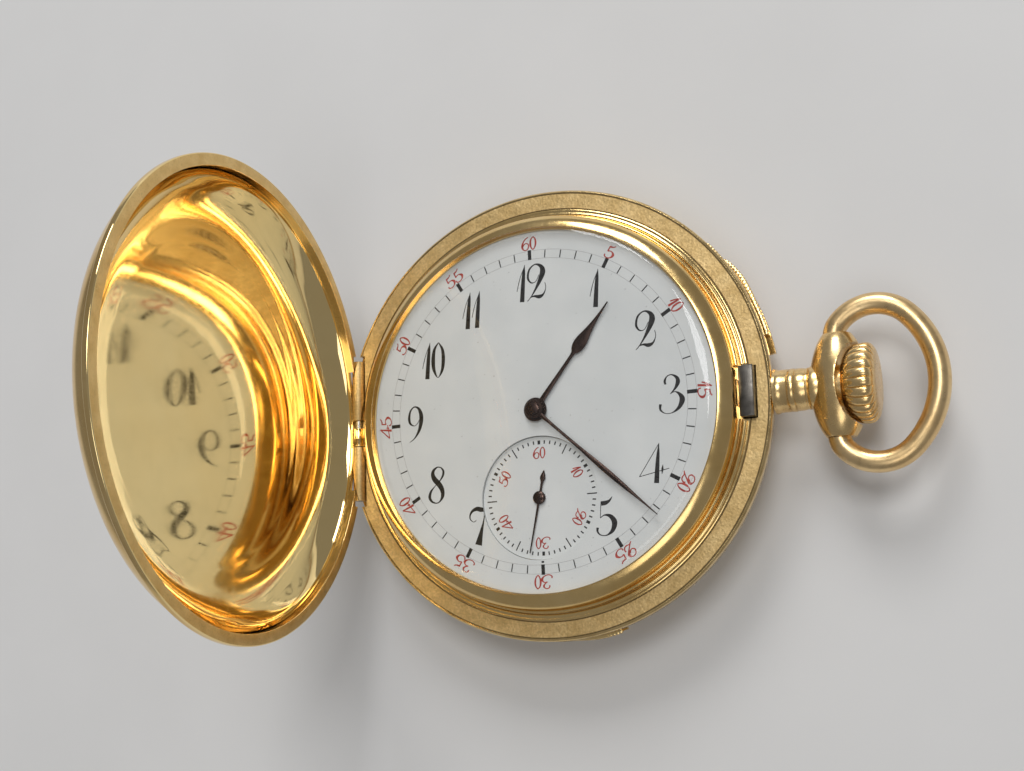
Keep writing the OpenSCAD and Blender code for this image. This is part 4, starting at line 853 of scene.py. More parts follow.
class Print:
    """Flat print at one level, clipped by the rim of the sunk dial if one is given."""

    def __init__(self, z: float, turn: float, keep_out: Optional[tuple[Point, float]] = None) -> None:
        """Starts an empty print.

        Args:
            z: Its level.
            turn: The dial's turn in degrees.
            keep_out: Centre and radius of a circle without print.
        """
        self.z, self.turn, self.keep_out = z, turn, keep_out
        self.shape = Shape()
        self.layer = 0

    def clip(self, points: list[Point]) -> list[Point]:
        """Cuts a small face along the rim of the sunk dial.

        Args:
            points: The face's corners.

        Returns:
            The corners of what is left.
        """
        if not self.keep_out:
            return points
        (cx, cy), r = self.keep_out
        mx, my = (sum(p[k] for p in points) / len(points) for k in (0, 1))
        d = math.hypot(mx - cx, my - cy) or 1.0
        nx, ny = (mx - cx) / d, (my - cy) / d
        side = [(x - cx) * nx + (y - cy) * ny - r for x, y in points]
        kept = []
        for i, (p, s) in enumerate(zip(points, side)):
            q, t = points[i - 1], side[i - 1]
            if (s < 0) != (t < 0):
                u = t / (t - s)
                kept.append((q[0] + (p[0] - q[0]) * u, q[1] + (p[1] - q[1]) * u))
            if s >= 0:
                kept.append(p)
        return kept

    def face(self, points: list[Point]) -> None:
        """Adds a face, turned with the dial.

        Args:
            points: The face's corners.
        """
        points = self.clip([rotated(p, self.turn) for p in points])
        if len(points) > 2:
            self.shape.face(points, self.z + LAYER_STEP * (self.layer % LAYERS))

    def stroke(self, points: Stroke, place: Callable[[float, float], Point], size: float, least: float) -> None:
        """Draws a line of changing width.

        Args:
            points: Its points, each with the width there.
            place: Finds where a point lies on the dial.
            size: The digit's height.
            least: Least width, as a share of the height.
        """
        self.layer += 1
        path = smooth_path(points, STROKE_STEPS)
        left, right = [], []
        for i, (x, y, w) in enumerate(path):
            a, b = path[max(0, i - 1)], path[min(len(path) - 1, i + 1)]
            dx, dy = b[0] - a[0], b[1] - a[1]
            d = math.hypot(dx, dy) or 1.0
            h = max(abs(w), least) / 2
            left.append(place((x - dy / d * h) * size, (y + dx / d * h) * size))
            right.append(place((x + dy / d * h) * size, (y - dx / d * h) * size))
        for i in range(len(path) - 1):
            self.face([left[i], right[i], right[i + 1], left[i + 1]])

    def number(
        self, text: str, at: Point, size: float, lean: float, least: float, stretch: float = 1.0
    ) -> None:
        """Draws a number that is centred on a point.

        Args:
            text: Its digits.
            at: The centre.
            size: The digits' height.
            lean: Turn about the centre, in degrees.
            least: Least line width, as a share of the height.
            stretch: Width of the digits against their drawn one.
        """
        start = -sum(DIGITS[d][0] for d in text) * size * stretch / 2
        for d in text:
            advance, strokes = DIGITS[d]

            def place(x: float, y: float, start: float = start) -> Point:
                """Where a point of the digit lies on the dial."""
                return rotated((start + x * stretch, y - size / 2), lean, at)

            for stroke in strokes:
                self.stroke(stroke, place, size, least)
            start += advance * size * stretch

    def tick(self, centre: Point, degrees: float, r0: float, r1: float, width: float) -> None:
        """Draws a radial bar.

        Args:
            centre: The track's centre.
            degrees: Angle clockwise from twelve.
            r0: Radius of the inner end.
            r1: Radius of the outer end.
            width: The bar's width.
        """
        h = width / 2
        corners = ((r0, -h), (r1, -h), (r1, h), (r0, h))
        self.face([rotated(corner, 90 - degrees, centre) for corner in corners])

    def circle(self, r: float, width: float) -> None:
        """Draws a thin circle round the dial's middle."""
        ring = Shape().lathe([(r + side * width / 2, self.z) for side in (-1, 1)], CIRCLE_STEPS, closed=False)
        self.shape.join(ring.move(Matrix.Rotation(math.radians(self.turn), 4, "Z")))

    def done(self, name: str, finish: Finish) -> bpy.types.Object:
        """Finishes the print as a piece."""
        return self.shape.piece(name, finish, Body.CASE, upward=True)


@dataclass
class DialPrint:
    """Numbers and tracks of the main dial and the seconds dial.

    A tick is its inner and outer end and its width, and the ends of the minute track's
    ticks are steps from the track's two circles. A style is the least line width, as a
    share of the height, and the stretch.
    """

    top: float = 9.98141
    sunk_top: float = 9.63141
    lift: float = 0.006
    turn: float = 0.9
    sunk: Point = SUNK_AT
    sunk_r: float = 7.0
    sunk_gap: float = 0.06
    hour_r: float = 14.7
    hour_size: float = 4.3
    hour_style: Point = (0.018, 1.0)
    minute_r: float = 19.4
    minute_size: float = 1.55
    minute_style: Point = (0.075, 1.35)
    track: Point = (17.5, 18.5)
    minute_tick: Triple = (0.05, -0.05, 0.13)
    five_tick: Triple = (-0.05, 0.1, 0.42)
    foot_tick: Triple = (17.06, 17.28, 0.3)
    line_width: float = 0.035
    second_r: float = 5.1
    second_size: float = 1.3
    second_style: Point = (0.08, 1.3)
    second_tick: Triple = (6.1, 6.5, 0.15)
    ten_tick: Triple = (6.05, 6.5, 0.32)
    between_tick: Triple = (5.45, 6.62, 0.13)
    nudges: tuple[tuple[int, float, float], ...] = (
        (1, 0.3, 0.2), (2, 0.5, 0.1), (3, 0.9, 0.0), (4, 0.45, 0.0), (5, 0.3, 0.1), (7, -0.45, 0.1),
        (8, -0.2, -0.1), (9, -0.7, 0.0), (10, 0.0, 0.0), (11, -0.2, -0.1), (12, 0.1, 0.1),
    )

    def build(self) -> None:
        """Makes the print of both dials."""
        self.main_dial(self.top + self.lift)
        self.small_dial(self.sunk_top + self.lift)

    def main_dial(self, z: float) -> None:
        """Makes the main dial's print.

        Args:
            z: Its level.
        """
        middle = (0.0, 0.0)
        hours = Print(z, self.turn, (rotated(self.sunk, self.turn), self.sunk_r + self.sunk_gap))
        for h, dx, dy in self.nudges:
            x, y = polar(self.hour_r, 90 - HOUR_TURN * h)
            hours.number(str(h), (x + dx, y + dy), self.hour_size, -self.turn, *self.hour_style)
        hours.done("hour_numbers", BLACK_INK)
        minutes = Print(z, self.turn)
        for m in range(5, 61, 5):
            turn = MINUTE_TURN * m
            minutes.number(str(m), polar(self.minute_r, 90 - turn), self.minute_size, -turn, *self.minute_style)
        minutes.done("minute_numbers", RED_INK)
        track = Print(z, self.turn)
        for m in range(60):
            inner, outer, width = self.minute_tick if m % 5 else self.five_tick
            track.tick(middle, MINUTE_TURN * m, self.track[0] + inner, self.track[1] + outer, width)
        track.tick(middle, 180, *self.foot_tick)
        track.done("minute_track", BLACK_INK)
        lines = Print(z, self.turn)
        for r in self.track:
            lines.circle(r, self.line_width)
        lines.done("minute_lines", GREY_INK)

    def small_dial(self, z: float) -> None:
        """Makes the seconds dial's print.

        Args:
            z: Its level.
        """
        track = Print(z, self.turn)
        for s in range(60):
            tick = {0: self.ten_tick, 5: self.between_tick}.get(s % 10, self.second_tick)
            track.tick(self.sunk, MINUTE_TURN * s, *tick)
        track.done("seconds_track", BLACK_INK)
        numbers = Print(z, self.turn)
        for s in range(10, 61, 10):
            turn = MINUTE_TURN * s
            at = rotated((self.second_r, 0.0), 90 - turn, self.sunk)
            numbers.number(str(s), at, self.second_size, -turn, *self.second_style)
        numbers.done("seconds_numbers", RED_INK)


# Pieces of the watch


@dataclass
class FrontCover:
    """The domed front cover, standing open on its hinge."""

    hinge_x: float = -24.3974
    hinge_z: float = 7.68141
    open_angle: float = 88.0
    in_r: float = 24.5545
    out_r: float = 25.9045
    corner_r: float = 3.6
    slope: float = 10.0
    wall: float = 0.6
    rim_z: float = 7.83141
    corner_z: float = 8.24813
    apex_z: float = 13.6814
    rim_t: float = 0.8
    # Roundings of the rim: inner, lower outer and upper outer edge
    rim_ease: Triple = (0.08, 0.16, 0.25)
    bowl_r: float = 210.0
    bowl_z: float = 13.4
    bowl_edge: tuple[Point, ...] = (
        (17.5, 12.6695), (19.6, 12.38), (21.3, 11.88), (22.6, 11.2), (23.5, 10.45), (24.17, 9.7), (24.5, 9.05),
        (24.5545, 8.5), (24.5545, 8.0),
    )
    steps: int = 256
    bed: float = 0.95
    bed_half: float = 9.3
    bed_from: float = -30.0
    # The latch's slot, from the inner radius and the rim's foot
    slot_low: Triple = (-1.0, -2.75, 0.35)
    slot_high: Triple = (0.4, 2.75, 0.95)
    knuckle: Point = (-1.9, 0.3)
    knuckle_r: float = 0.8
    knuckle_sides: int = 16
    knuckle_ease: float = 0.1
    web: Point = (-0.6, 0.1)
    web_rise: float = 0.3
    # Faces count as the rim if they lie this flat and this low, and as the outside above this slope
    rim_facing: float = 0.97
    rim_reach: float = 0.5
    outside_facing: float = -0.05

    def profile(self) -> list[Point]:
        """Draws the cover's section.

        Returns:
            Its points, from the inner apex round to the outer one.
        """
        join_r = self.in_r - self.corner_r * (1 - math.sin(math.radians(self.slope)))
        dome_r = join_r / math.sin(math.radians(self.slope))
        dome = (0.0, self.apex_z - dome_r)
        corner = (self.in_r - self.corner_r, self.corner_z)
        z, t = self.rim_z, self.wall
        lean = math.degrees(math.asin((z + self.rim_t - self.corner_z) / (self.corner_r + t)))
        flat = math.degrees(math.asin(self.bowl_edge[0][0] / self.bowl_r))
        inner, lower, upper = self.rim_ease
        return [
            *arc((0.0, self.bowl_z - self.bowl_r), self.bowl_r, 90, 90 - flat, 40),
            *smooth_path(self.bowl_edge, 7)[1:],
            *arc((self.in_r + inner, z + inner), inner, 180, 270, 4),
            *arc((self.out_r - lower, z + lower), lower, 270, 360, 6),
            *arc((self.out_r - upper, z + self.rim_t - upper), upper, 0, 90, 6),
            *arc(corner, self.corner_r + t, lean, 90 - self.slope, 26),
            *arc(dome, dome_r + t, 90 - self.slope, 90, 24)[1:],
        ]

    def build(self) -> None:
        """Makes the cover."""
        pivot, rim = Vector((self.hinge_x, 0, self.hinge_z)), Vector((self.in_r, 0, self.rim_z))
        shell = Shape().lathe(self.profile(), self.steps, closed=False)
        shell.cut(
            block((self.bed_from, -self.bed_half, 0), pivot + Vector((self.bed, self.bed_half, self.bed))),
            block(rim + Vector(self.slot_low), rim + Vector(self.slot_high)),
        )
        y0, y1 = self.knuckle
        sides = self.knuckle_sides
        ring = arc((self.hinge_x, self.hinge_z), self.knuckle_r, 0, 360 - 360 / sides, sides - 1)
        knuckle = Shape().rows([[(x, y, z) for x, z in ring] for y in (y0, y1)]).bevel(self.knuckle_ease)
        left, right = self.web
        knuckle.join(block(pivot + Vector((left, y0, 0)), pivot + Vector((right, y1, self.bed + self.web_rise))))
        swing = Matrix.Translation(pivot) @ Matrix.Rotation(math.radians(-self.open_angle), 4, "Y")
        swing = swing @ Matrix.Translation(-pivot)
        cover = shell.join(knuckle).move(swing).piece(
            "front_cover_polished", MIRROR, Body.LID, Slot.GOLD, ["front_cover"], smooth=32
        )
        cover.data.materials.append(SATIN.material())
        cover.data.materials.append(POLISHED.material())
        outward = swing.to_3x3() @ Vector((0, 0, 1))
        for f in cover.data.polygons:
            facing = f.normal.dot(outward)
            if abs(facing) > self.rim_facing and (Vector(f.center) / MM - pivot).dot(outward) < self.rim_reach:
                f.material_index = 1
            elif facing > self.outside_facing:
                f.material_index = 2


@dataclass
class BezelAndCrystal:
    """The convex bezel and the glass that it holds."""

    steps: int = 384
    foot: Point = (22.35, 7.88141)
    foot_ease: float = 0.1
    wall_r: float = 22.85
    crown: Point = (20.35, 8.28141)
    crown_r: float = 2.6
    crown_step: float = 0.44
    bead: float = 0.2
    bead_rise: float = 0.55
    bead_turn: float = 150.0
    notch_low: Triple = (22.3, -2.9, 7.0)
    notch_high: Triple = (24.3, 2.9, 12.0)
    lip_r: float = 20.95
    view_r: float = 20.7
    shelf: float = 10.35141
    under: float = 10.03141
    seat: Point = (21.75, 8.63141)
    glass_r: float = 20.9
    glass_top: float = 12.3314
    glass_rise: float = 0.7
    glass_t: float = 0.6
    glass_gap: float = 0.03
    edge: float = 0.8
    edge_rise: float = 0.42
    edge_lean: float = 68.0
    edge_foot: float = 0.1
    underside_facing: float = -0.2

    def build(self) -> None:
        """Makes both pieces."""
        self.bezel()
        self.crystal()

    def bezel(self) -> None:
        """Makes the bezel."""
        a0, a1 = (
            math.degrees(math.acos((r - self.crown[0]) / self.crown_r))
            for r in (self.wall_r - self.crown_step, self.lip_r)
        )
        ease = self.foot_ease
        ring = [
            self.foot,
            *arc((self.wall_r - ease, self.foot[1] + ease), ease, 270, 360, 4),
            *arc((self.wall_r - self.bead, self.foot[1] + self.bead_rise), self.bead, 0, self.bead_turn, 10),
            *arc(self.crown, self.crown_r, a0, a1, 30),
            (self.lip_r, self.shelf), (self.view_r, self.shelf), (self.view_r, self.under),
            (self.seat[0], self.under), self.seat, (self.foot[0], self.seat[1]),
        ]
        shape = Shape().lathe(ring, self.steps).cut(block(self.notch_low, self.notch_high))
        shape.piece("bezel_polished", POLISHED, Body.CASE, Slot.GOLD, ["bezel"], smooth=40)

    def crystal(self) -> None:
        """Makes the glass."""
        top_r = self.glass_r - self.edge
        dome = (top_r**2 + self.glass_rise**2) / (2 * self.glass_rise)
        lean = math.degrees(math.asin(top_r / dome))
        centre = (0.0, self.glass_top - dome)
        foot = self.shelf + self.glass_gap
        section = [
            *arc(centre, dome, 90, 90 - lean, 24),
            *arc((top_r, foot + self.edge_rise), self.glass_r - top_r, self.edge_lean, 0, 10),
            (self.glass_r, foot), (top_r - self.edge_foot, foot),
            *arc(centre, dome - self.glass_t, 90 - lean, 90, 24),
        ]
        crystal = Shape().lathe(section, self.steps, closed=False).piece(
            "crystal_clear", GLASS, Body.CASE, Slot.GLASS, ["crystal"], smooth=40
        )
        crystal.data.materials.append(GLASS_UNDERSIDE.material())
        for f in crystal.data.polygons:
            f.material_index = int(f.normal.z < self.underside_facing)


@dataclass
class FlangeTrim:
    """The polished step round the bezel, and the latch's full head."""

    z: float = 7.78141
    start: float = 7.6
    turns: int = 480
    step: tuple[Point, ...] = (
        (22.92, -0.1), (22.92, 0.06), (23.0, 0.14), (23.12, 0.17), (23.26, 0.14), (23.34, 0.07), (23.4, 0.06),
        (23.5, 0.1), (23.62, 0.1), (23.72, 0.04), (23.76, -0.1),
    )
    latch_low: Triple = (22.72, -2.74, 7.9)
    latch_high: Triple = (24.29, 2.74, 8.99)
    latch_ease: float = 0.1

    def build(self) -> None:
        """Makes both pieces."""
        section = [(r, self.z + h) for r, h in self.step]
        angles = (self.start + (360 - 2 * self.start) * k / self.turns for k in range(self.turns + 1))
        ring = swept((degrees, section) for degrees in angles)
        ring.piece("flange_step", POLISHED, Body.CASE, Slot.GOLD, smooth=40)
        head = block(self.latch_low, self.latch_high).bevel(self.latch_ease)
        head.piece("latch_head", DARK_STEEL, Body.LATCH, Slot.STEEL, smooth=40)


@dataclass
class LiftingLips:
    """Ribbed grips on the back cover's two lips, and on the band above the longer one.

    A reach is given as points of angle and radius, and a section's outer points as steps from that radius.
    """

    pitch: float = 0.95
    depth: float = 0.07
    steps: int = 36
    long_reach: tuple[Point, ...] = (
        (36.5, 26.25), (34.5, 26.42), (30.5, 26.58), (26.5, 26.5), (22.0, 26.36), (16.0, 26.32), (14.5, 26.2),
    )
    short_reach: tuple[Point, ...] = ((-94.0, 25.7), (-87.0, 25.98), (-80.0, 26.26), (-74.4, 26.34), (-73.2, 26.2))
    band_reach: tuple[Point, ...] = ((41.0, 26.02), (40.0, 26.14), (31.0, 26.16), (24.0, 26.14), (23.0, 26.02))
    long_inner: tuple[Point, Point] = ((25.5, 4.52), (25.8, 5.3))
    short_inner: tuple[Point, Point] = ((25.3, 4.52), (25.5, 5.06))
    band_inner: tuple[Point, Point] = ((25.9, 6.7), (25.9, 7.5))
    outer: tuple[Point, ...] = ((-0.22, 0.06), (-0.07, 0.0), (0.0, -0.2))
    foot_step: float = -0.04
    short_ribs_from: float = -77.0

    def build(self) -> None:
        """Makes the three grips."""
        self.grip("back_lip_grip", Body.BACK, self.long_reach, self.long_inner)
        self.grip("back_lip_slide", Body.BACK, self.short_reach, self.short_inner, self.short_ribs_from)
        self.grip("band_grip", Body.CASE, self.band_reach, self.band_inner)

    def grip(
        self, name: str, body: Body, reach: Sequence[Point], inner: tuple[Point, Point], ribs_from: float = -180
    ) -> None:
        """Makes one grip.

        Args:
            name: The piece's name.
            body: The body that it rides on.
            reach: Angles with the grip's outer radius there.
            inner: Lower and upper point of the inner side.
            ribs_from: Angle from which on it has ribs.
        """
        (_, low), (_, high) = inner
        stations = []
        for degrees, r in smooth_path(reach, self.steps):
            if degrees > ribs_from:
                r -= self.depth * (0.5 + 0.5 * math.cos(math.tau * degrees / self.pitch))
            outer = ((r + step, high + rise) for step, rise in self.outer)
            stations.append((degrees, [*inner, *outer, (r + self.foot_step, low)]))
        swept(stations).piece(name, POLISHED, body, Slot.GOLD, smooth=40)


@dataclass
class Hand:
    """One hand: a ridged blade, given as points of reach and half width, on a stepped hub."""

    name: str
    node: str
    body: Body
    z: float
    angle: float
    blade: Sequence[Point]
    hub: Sequence[Point]
    centre: Point = (0.0, 0.0)
    thick: float = 0.2
    least: float = 0.035
    blade_steps: int = 10
    hub_steps: int = 64
    # One flank of the section, in shares of half width and thickness
    flank: tuple[Point, ...] = ((1.0, 0.0), (1.0, 0.45), (0.55, 0.86))

    def build(self) -> None:
        """Makes the hand, with its blade first drawn to twelve."""
        section = [(-u, v) for u, v in self.flank] + [(0.0, 1.0), *reversed(self.flank)]
        rows = []
        for y, w in smooth_path(self.blade, self.blade_steps):
            rows.append([(u * max(w, self.least), y, v * self.thick) for u, v in section])
        shape = Shape().rows(rows).join(Shape().lathe(self.hub, self.hub_steps))
        place = Matrix.Translation((*self.centre, self.z)) @ Matrix.Rotation(math.radians(-self.angle), 4, "Z")
        shape.move(place).piece(self.name, BROWNED, self.body, Slot.HAND, [self.node], smooth=30)


HANDS: tuple[Hand, ...] = (
    Hand(
        "hour_hand_pear", "hour_hand", Body.HOUR, 10.23141, 38.6,
        [(1.1, 0.3), (3, 0.26), (6.2, 0.19), (7.5, 0.22), (7.9, 0.46), (8.3, 0.64), (8.8, 0.72), (9.4, 0.68),
         (10.1, 0.53), (11, 0.35), (12.3, 0.18), (14.4, 0.05)],
        [(0.975, 0), (1.35, 0), (1.35, 0.16), (1.28, 0.22), (0.975, 0.22)],
    ),
    Hand(
        "minute_hand_leaf", "minute_hand", Body.MINUTE, 10.58141, 132.6,
        [(0.9, 0.25), (3, 0.17), (6.5, 0.18), (9.5, 0.26), (11.6, 0.3), (14, 0.24), (16, 0.14), (18.8, 0.05)],
        [(0.645, 0), (1.1, 0), (1.1, 0.15), (1.02, 0.23), (0.74, 0.26), (0.68, 0.4), (0.42, 0.48), (0, 0.5),
         (0, 0.3), (0.645, 0.3)],
    ),
    Hand(
        "seconds_hand_leaf", "seconds_hand", Body.SECONDS, 9.78141, 192.0,
        [(-3.1, 0.04), (-2.6, 0.24), (-2.2, 0.3), (-1.7, 0.14), (-0.6, 0.12), (0.4, 0.13), (3, 0.09), (6.3, 0.04)],
        [(0.245, 0), (0.74, 0), (0.74, 0.14), (0.62, 0.24), (0.4, 0.3), (0.2, 0.34), (0, 0.35), (0, 0.24),
         (0.245, 0.24)],
        SUNK_AT,
    ),
)


@dataclass
class Pendant:
    """Neck with its rings, and the almond-shaped head with two horns."""

    stem_z: float = STEM_Z
    neck_x: float = 26.0545
    neck_r: float = 2.15
    face_x: float = 32.4545
    head_r: float = 2.95
    head_half: float = 6.33
    head_steps: int = 48
    head_turns: int = 96
    head_ease: float = 0.15
    ease_angle: float = 50.0
    bow_x: float = BOW_X
    horn_y: float = 5.45
    cup_r: float = 2.4
    cup_depth: float = 1.2
    bowl: tuple[Point, ...] = (
        (2.4, 0.0), (2.7, 0.05), (3.2, 0.25), (3.7, 0.6), (4.05, 1.0), (4.3, 1.5), (4.4, 2.0), (4.4, 9.0),
    )
    spigot: Point = (24.0545, 1.2)
    rings: tuple[Point, ...] = (
        (0.25, -0.03), (0.25, 0.25), (0.14, 0.38), (0.13, 0.9), (0.15, 1.4), (0.07, 1.5), (0.14, 1.6), (0.15, 2.1),
        (0.07, 2.2), (0.12, 2.3), (0.1, 2.9), (0.04, 3.2), (0.0, 3.35), (0.08, 3.42), (0.08, 3.58), (0.0, 3.66),
        (0.16, 3.76), (0.23, 3.95), (0.25, 4.3), (0.22, 4.7), (0.1, 5.0), (-0.3, 5.12),
    )
    neck_end: float = 5.15

    def build(self) -> None:
        """Makes the pendant."""
        x0, r0 = self.spigot
        rings = [(self.neck_r + r, self.neck_x + x) for r, x in self.rings]
        neck = [(0, x0), (r0, x0), (r0, rings[0][1]), *rings, (0, self.neck_x + self.neck_end)]
        almond = []
        for i in range(self.head_steps + 1):
            y = self.horn_y * (2 * i / self.head_steps - 1)
            almond.append((self.head_r * math.sqrt(1 - (y / self.head_half) ** 2), y))
        head = along_y([(0, -self.horn_y), *almond, (0, self.horn_y)], self.bow_x, self.stem_z, self.head_turns)
        floor = self.face_x - self.cup_depth
        bowl = [(r, self.face_x + x) for r, x in smooth_path(self.bowl, 3)]
        bore = [(0, floor), (self.cup_r, floor), *bowl, (0, bowl[-1][1])]
        head.cut(along_x(bore, self.stem_z, self.head_turns))
        shape = along_x(neck, self.stem_z).join(head.bevel(self.head_ease, self.ease_angle))
        shape.piece("pendant_almond", WORN, Body.CASE, Slot.GOLD, ["pendant"], smooth=40)


@dataclass
class Crown:
    """The winding crown with rounded flutes and a smooth end.

    Its profile is given as points of reach, radius and share of the flutes' depth.
    """

    stem_z: float = STEM_Z
    x: float = 33.0545
    flutes: int = 24
    flute_steps: int = 14
    flute_depth: float = 0.3
    flute_round: float = 0.98
    least_r: float = 0.02
    profile_steps: int = 4
    bore_r: float = 0.76
    boss: Point = (31.9545, 2.2)
    boss_overlap: float = 0.1
    profile: tuple[Triple, ...] = (
        (0.0, 2.2, 0), (0.05, 2.5, 0), (0.25, 3.0, 0.1), (0.6, 3.5, 0.4), (1.0, 3.85, 0.8), (1.5, 4.1, 1),
        (2.0, 4.2, 1), (2.55, 4.21, 1), (2.95, 4.08, 0.95), (3.25, 3.75, 0.7), (3.46, 3.25, 0.3), (3.57, 2.6, 0),
        (3.6, 1.7, 0), (3.6, 0.02, 0),
    )

    def build(self) -> None:
        """Makes the crown."""
        per = self.flute_steps
        n = self.flutes * per
        shares = [2 * (k % per) / per - 1 for k in range(n)]
        ribs = [1 - math.sqrt(max(0.0, 1 - self.flute_round * t * t)) for t in shares]
        rows = []
        for px, pr, depth in smooth_path(self.profile, self.profile_steps):
            depth = self.flute_depth * max(0.0, min(1.0, depth))
            spots = (polar(max(pr - depth * rib, self.least_r), 360 * k / n) for k, rib in enumerate(ribs))
            rows.append([(self.x + px, y, self.stem_z + z) for y, z in spots])
        (x0, r), x1 = self.boss, self.x + self.boss_overlap
        boss = [(self.bore_r, x0), (r, x0), (r, x1), (self.bore_r, x1), (self.bore_r, x0)]
        shape = Shape().rows(rows).join(along_x(boss, self.stem_z))
        shape.piece("crown_fluted", WORN, Body.CROWN, Slot.GOLD, ["crown"], smooth=50)


@dataclass
class Bow:
    """The oval bow that swings in the pendant's horns."""

    stem_z: float = STEM_Z
    x: float = BOW_X
    horn_y: float = 5.5
    side: Point = (36.4, 3.7)
    side_r: float = 4.6
    side_end: float = 146.0
    far_x: float = 32.587
    far_r: float = 9.913
    swing: float = 44.14
    wire: float = 1.15
    around: int = 32
    # Steps along half the far arc, one side and one end
    along: tuple[int, int, int] = (26, 40, 5)
    # Last points of the wire, from the horn's end
    ends: tuple[Point, ...] = ((-0.17, 0.36), (-0.26, 0.0))
    pin_r: float = 0.6
    pin_y: float = 4.75

    def build(self) -> None:
        """Makes the bow."""
        far, side, end = self.along
        half = arc((self.far_x, 0.0), self.far_r, 0, self.swing, far)
        half += arc(self.side, self.side_r, self.swing, self.side_end, side)[1:]
        ends = ((self.x + dx, self.horn_y + dy) for dx, dy in self.ends)
        half += smooth_path((half[-1], *ends), end)[1:]
        path = [(x, -y) for x, y in reversed(half[1:])] + half
        ring = [polar(self.wire, 360 * k / self.around) for k in range(self.around)]
        rows = []
        for i, (x, y) in enumerate(path):
            a, b = path[max(0, i - 1)], path[min(len(path) - 1, i + 1)]
            dx, dy = (b[0] - a[0], b[1] - a[1]) if 0 < i < len(path) - 1 else (0.0, -1.0)
            d = math.hypot(dx, dy)
            rows.append([(x + dy / d * u, y - dx / d * u, self.stem_z + v) for u, v in ring])
        shape = Shape().rows(rows)
        for s in (-1, 1):
            y0, y1 = s * self.pin_y, s * self.horn_y
            shape.join(along_y([(0, y0), (self.pin_r, y0), (self.pin_r, y1), (0, y1)], self.x, self.stem_z))
        shape.piece("bow_wire", HANDLED, Body.BOW, Slot.GOLD, ["bow"], smooth=50)


@dataclass(frozen=True)
class Carried:
    """A frame node that keeps its shape and gets a finish, with its edges eased."""

    node: str
    finish: Finish
    ease: float = 0.0
    weld: float = 0.002
    sharp: float = 32.0

    def build(self) -> None:
        """Dresses the node."""
        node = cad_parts[self.node]
        node.data.materials.clear()
        node.data.materials.append(self.finish.material())
        if self.ease:
            weld = node.modifiers.new("weld", "WELD")
            weld.merge_threshold = self.weld * MM
            bevel = node.modifiers.new("ease", "BEVEL")
            bevel.width, bevel.segments, bevel.limit_method = self.ease * MM, 2, "ANGLE"
            bevel.angle_limit, bevel.harden_normals = math.radians(self.sharp), True


CARRIED: tuple[Carried, ...] = (
    Carried("case_band", SANDED, 0.07),
    Carried("back_cover", POLISHED, 0.06),
    Carried("cuvette", POLISHED, 0.05),
    Carried("lock_spring", DARK_STEEL, 0.06),
    *(Carried(n, ENAMEL) for n in ("dial", "seconds_dial")),
    *(Carried(n, STEEL) for n in (
        "front_hinge_pin", "back_hinge_pin", "fly_spring", "winding_stem", "cannon_pinion", "mainspring",
        "barrel_arbor", "click", "click_spring", "escape_wheel", "pallet_fork", "regulator", "winding_pinion",
        "clutch", "bridge_screws", "case_screws")),
    *(Carried(n, Turned(n)) for n in ("ratchet_wheel", "crown_wheel")),
    *(Carried(n, GILT) for n in (
        "hour_wheel", "minute_wheel", "main_plate", "barrel", "barrel_cover", "barrel_bridge", "train_bridge",
        "centre_wheel", "third_wheel", "fourth_wheel", "pallet_cock", "balance_wheel", "balance_cock")),
    Carried("hairspring", BLUED),
    Carried("jewels", RUBY),
)


# Stage


@dataclass(frozen=True)
class SoftBox:
    """A square light that looks at the watch, in metres."""

    name: str
    at: Triple
    size: float
    power: float
    aim: Triple = (0.0, 0.0, 0.01)

    def build(self) -> None:
        """Adds the light."""
        data = bpy.data.lights.new(self.name, "AREA")
        data.shape, data.size, data.energy = "SQUARE", self.size, self.power
        lamp = bpy.data.objects.new(self.name, data)
        lamp.location = self.at
        lamp.rotation_euler = (Vector(self.aim) - Vector(self.at)).to_track_quat("-Z", "Y").to_euler()
        bpy.context.scene.collection.objects.link(lamp)


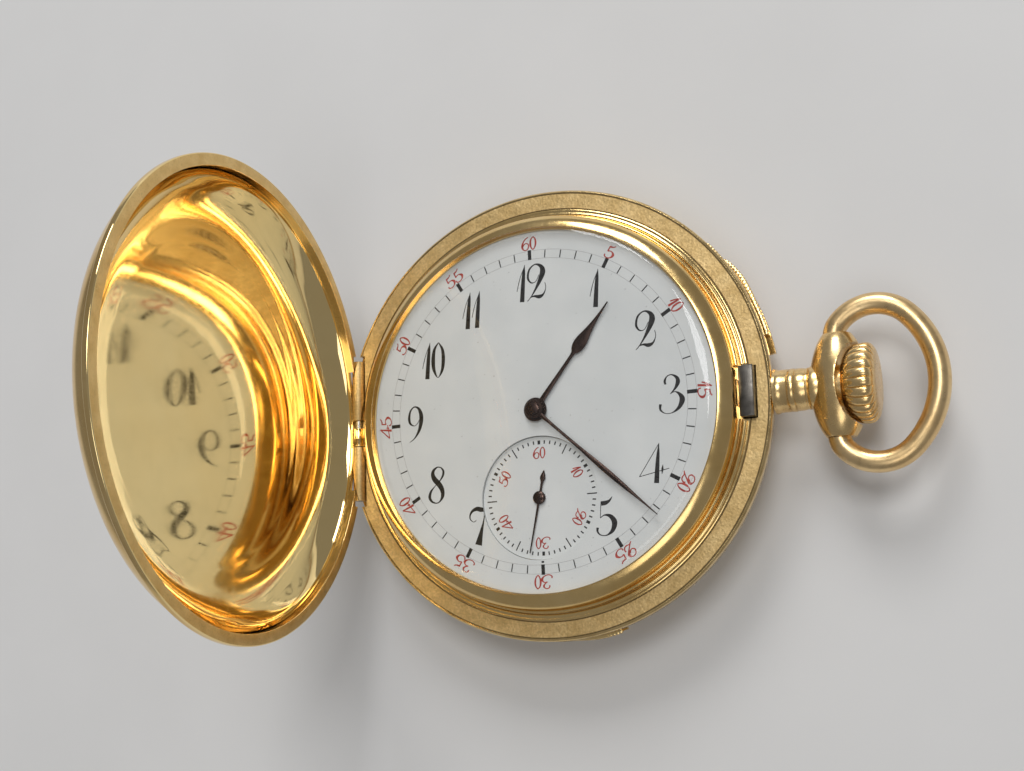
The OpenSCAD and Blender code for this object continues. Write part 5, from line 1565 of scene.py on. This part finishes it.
@dataclass
class Stage:
    """Floor, soft light and the camera of the photograph's view."""

    eye: Triple = (55.474, -25.615, 145.468)
    right: Triple = (0.89381, -0.019534, -0.44802)
    down: Triple = (-0.071915, -0.992364, -0.100205)
    ahead: Triple = (-0.442642, 0.121784, -0.88839)
    focal: float = 1311.404
    middle: Point = (442.209, 479.501)
    image: tuple[int, int] = (1024, 771)
    sensor: float = 36.0
    sight: Point = (0.005, 10.0)
    floor_half: float = 3000.0
    floor_z: float = -0.05
    ambient: Colour = (0.22, 0.22, 0.224)
    lamps: tuple[SoftBox, ...] = (
        SoftBox("back", (0.0, 0.95, 0.65), 0.45, 5.4),
        SoftBox("front", (0.25, -0.5, 1.05), 0.5, 1.3),
        SoftBox("top", (0.22, 0.35, 1.05), 0.4, 3.2),
    )

    def build(self) -> None:
        """Makes the stage."""
        self.floor()
        world = bpy.data.worlds.new("studio")
        world.use_nodes = True
        world.node_tree.nodes["Background"].inputs["Color"].default_value = (*self.ambient, 1)
        scene = bpy.context.scene
        scene.world = world
        for lamp in self.lamps:
            lamp.build()
        self.camera()
        scene.view_settings.view_transform = "Standard"
        scene.render.use_compositing = False

    def floor(self) -> None:
        """Adds the floor."""
        a = self.floor_half
        shape = Shape().face([(-a, -a), (a, -a), (a, a), (-a, a)], self.floor_z)
        ground = shape.in_metres().to_object("floor")
        ground.data.materials.append(FLOOR.material())

    def camera(self) -> None:
        """Adds the camera."""
        data = bpy.data.cameras.new("camera")
        data.sensor_width, data.sensor_fit = self.sensor, "HORIZONTAL"
        wide, high = self.image
        data.lens = self.focal / wide * self.sensor
        data.shift_x = (wide / 2 - self.middle[0]) / wide
        data.shift_y = (self.middle[1] - high / 2) / wide
        data.clip_start, data.clip_end = self.sight
        made = bpy.data.objects.new("camera", data)
        axes = (Vector(self.right), -Vector(self.down), -Vector(self.ahead))
        made.matrix_world = Matrix.Translation(Vector(self.eye) * MM) @ Matrix(axes).transposed().to_4x4()
        bpy.context.scene.collection.objects.link(made)
        bpy.context.scene.camera = made


def main() -> None:
    """Builds the looks."""
    logging.basicConfig(level=logging.INFO)
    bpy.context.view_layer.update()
    parts = (
        *CARRIED, FrontCover(), BezelAndCrystal(), FlangeTrim(), LiftingLips(), DialPrint(), *HANDS, Pendant(),
        Crown(), Bow(), Stage(),
    )
    for part in parts:
        part.build()


if __name__ == "__main__":
    main()
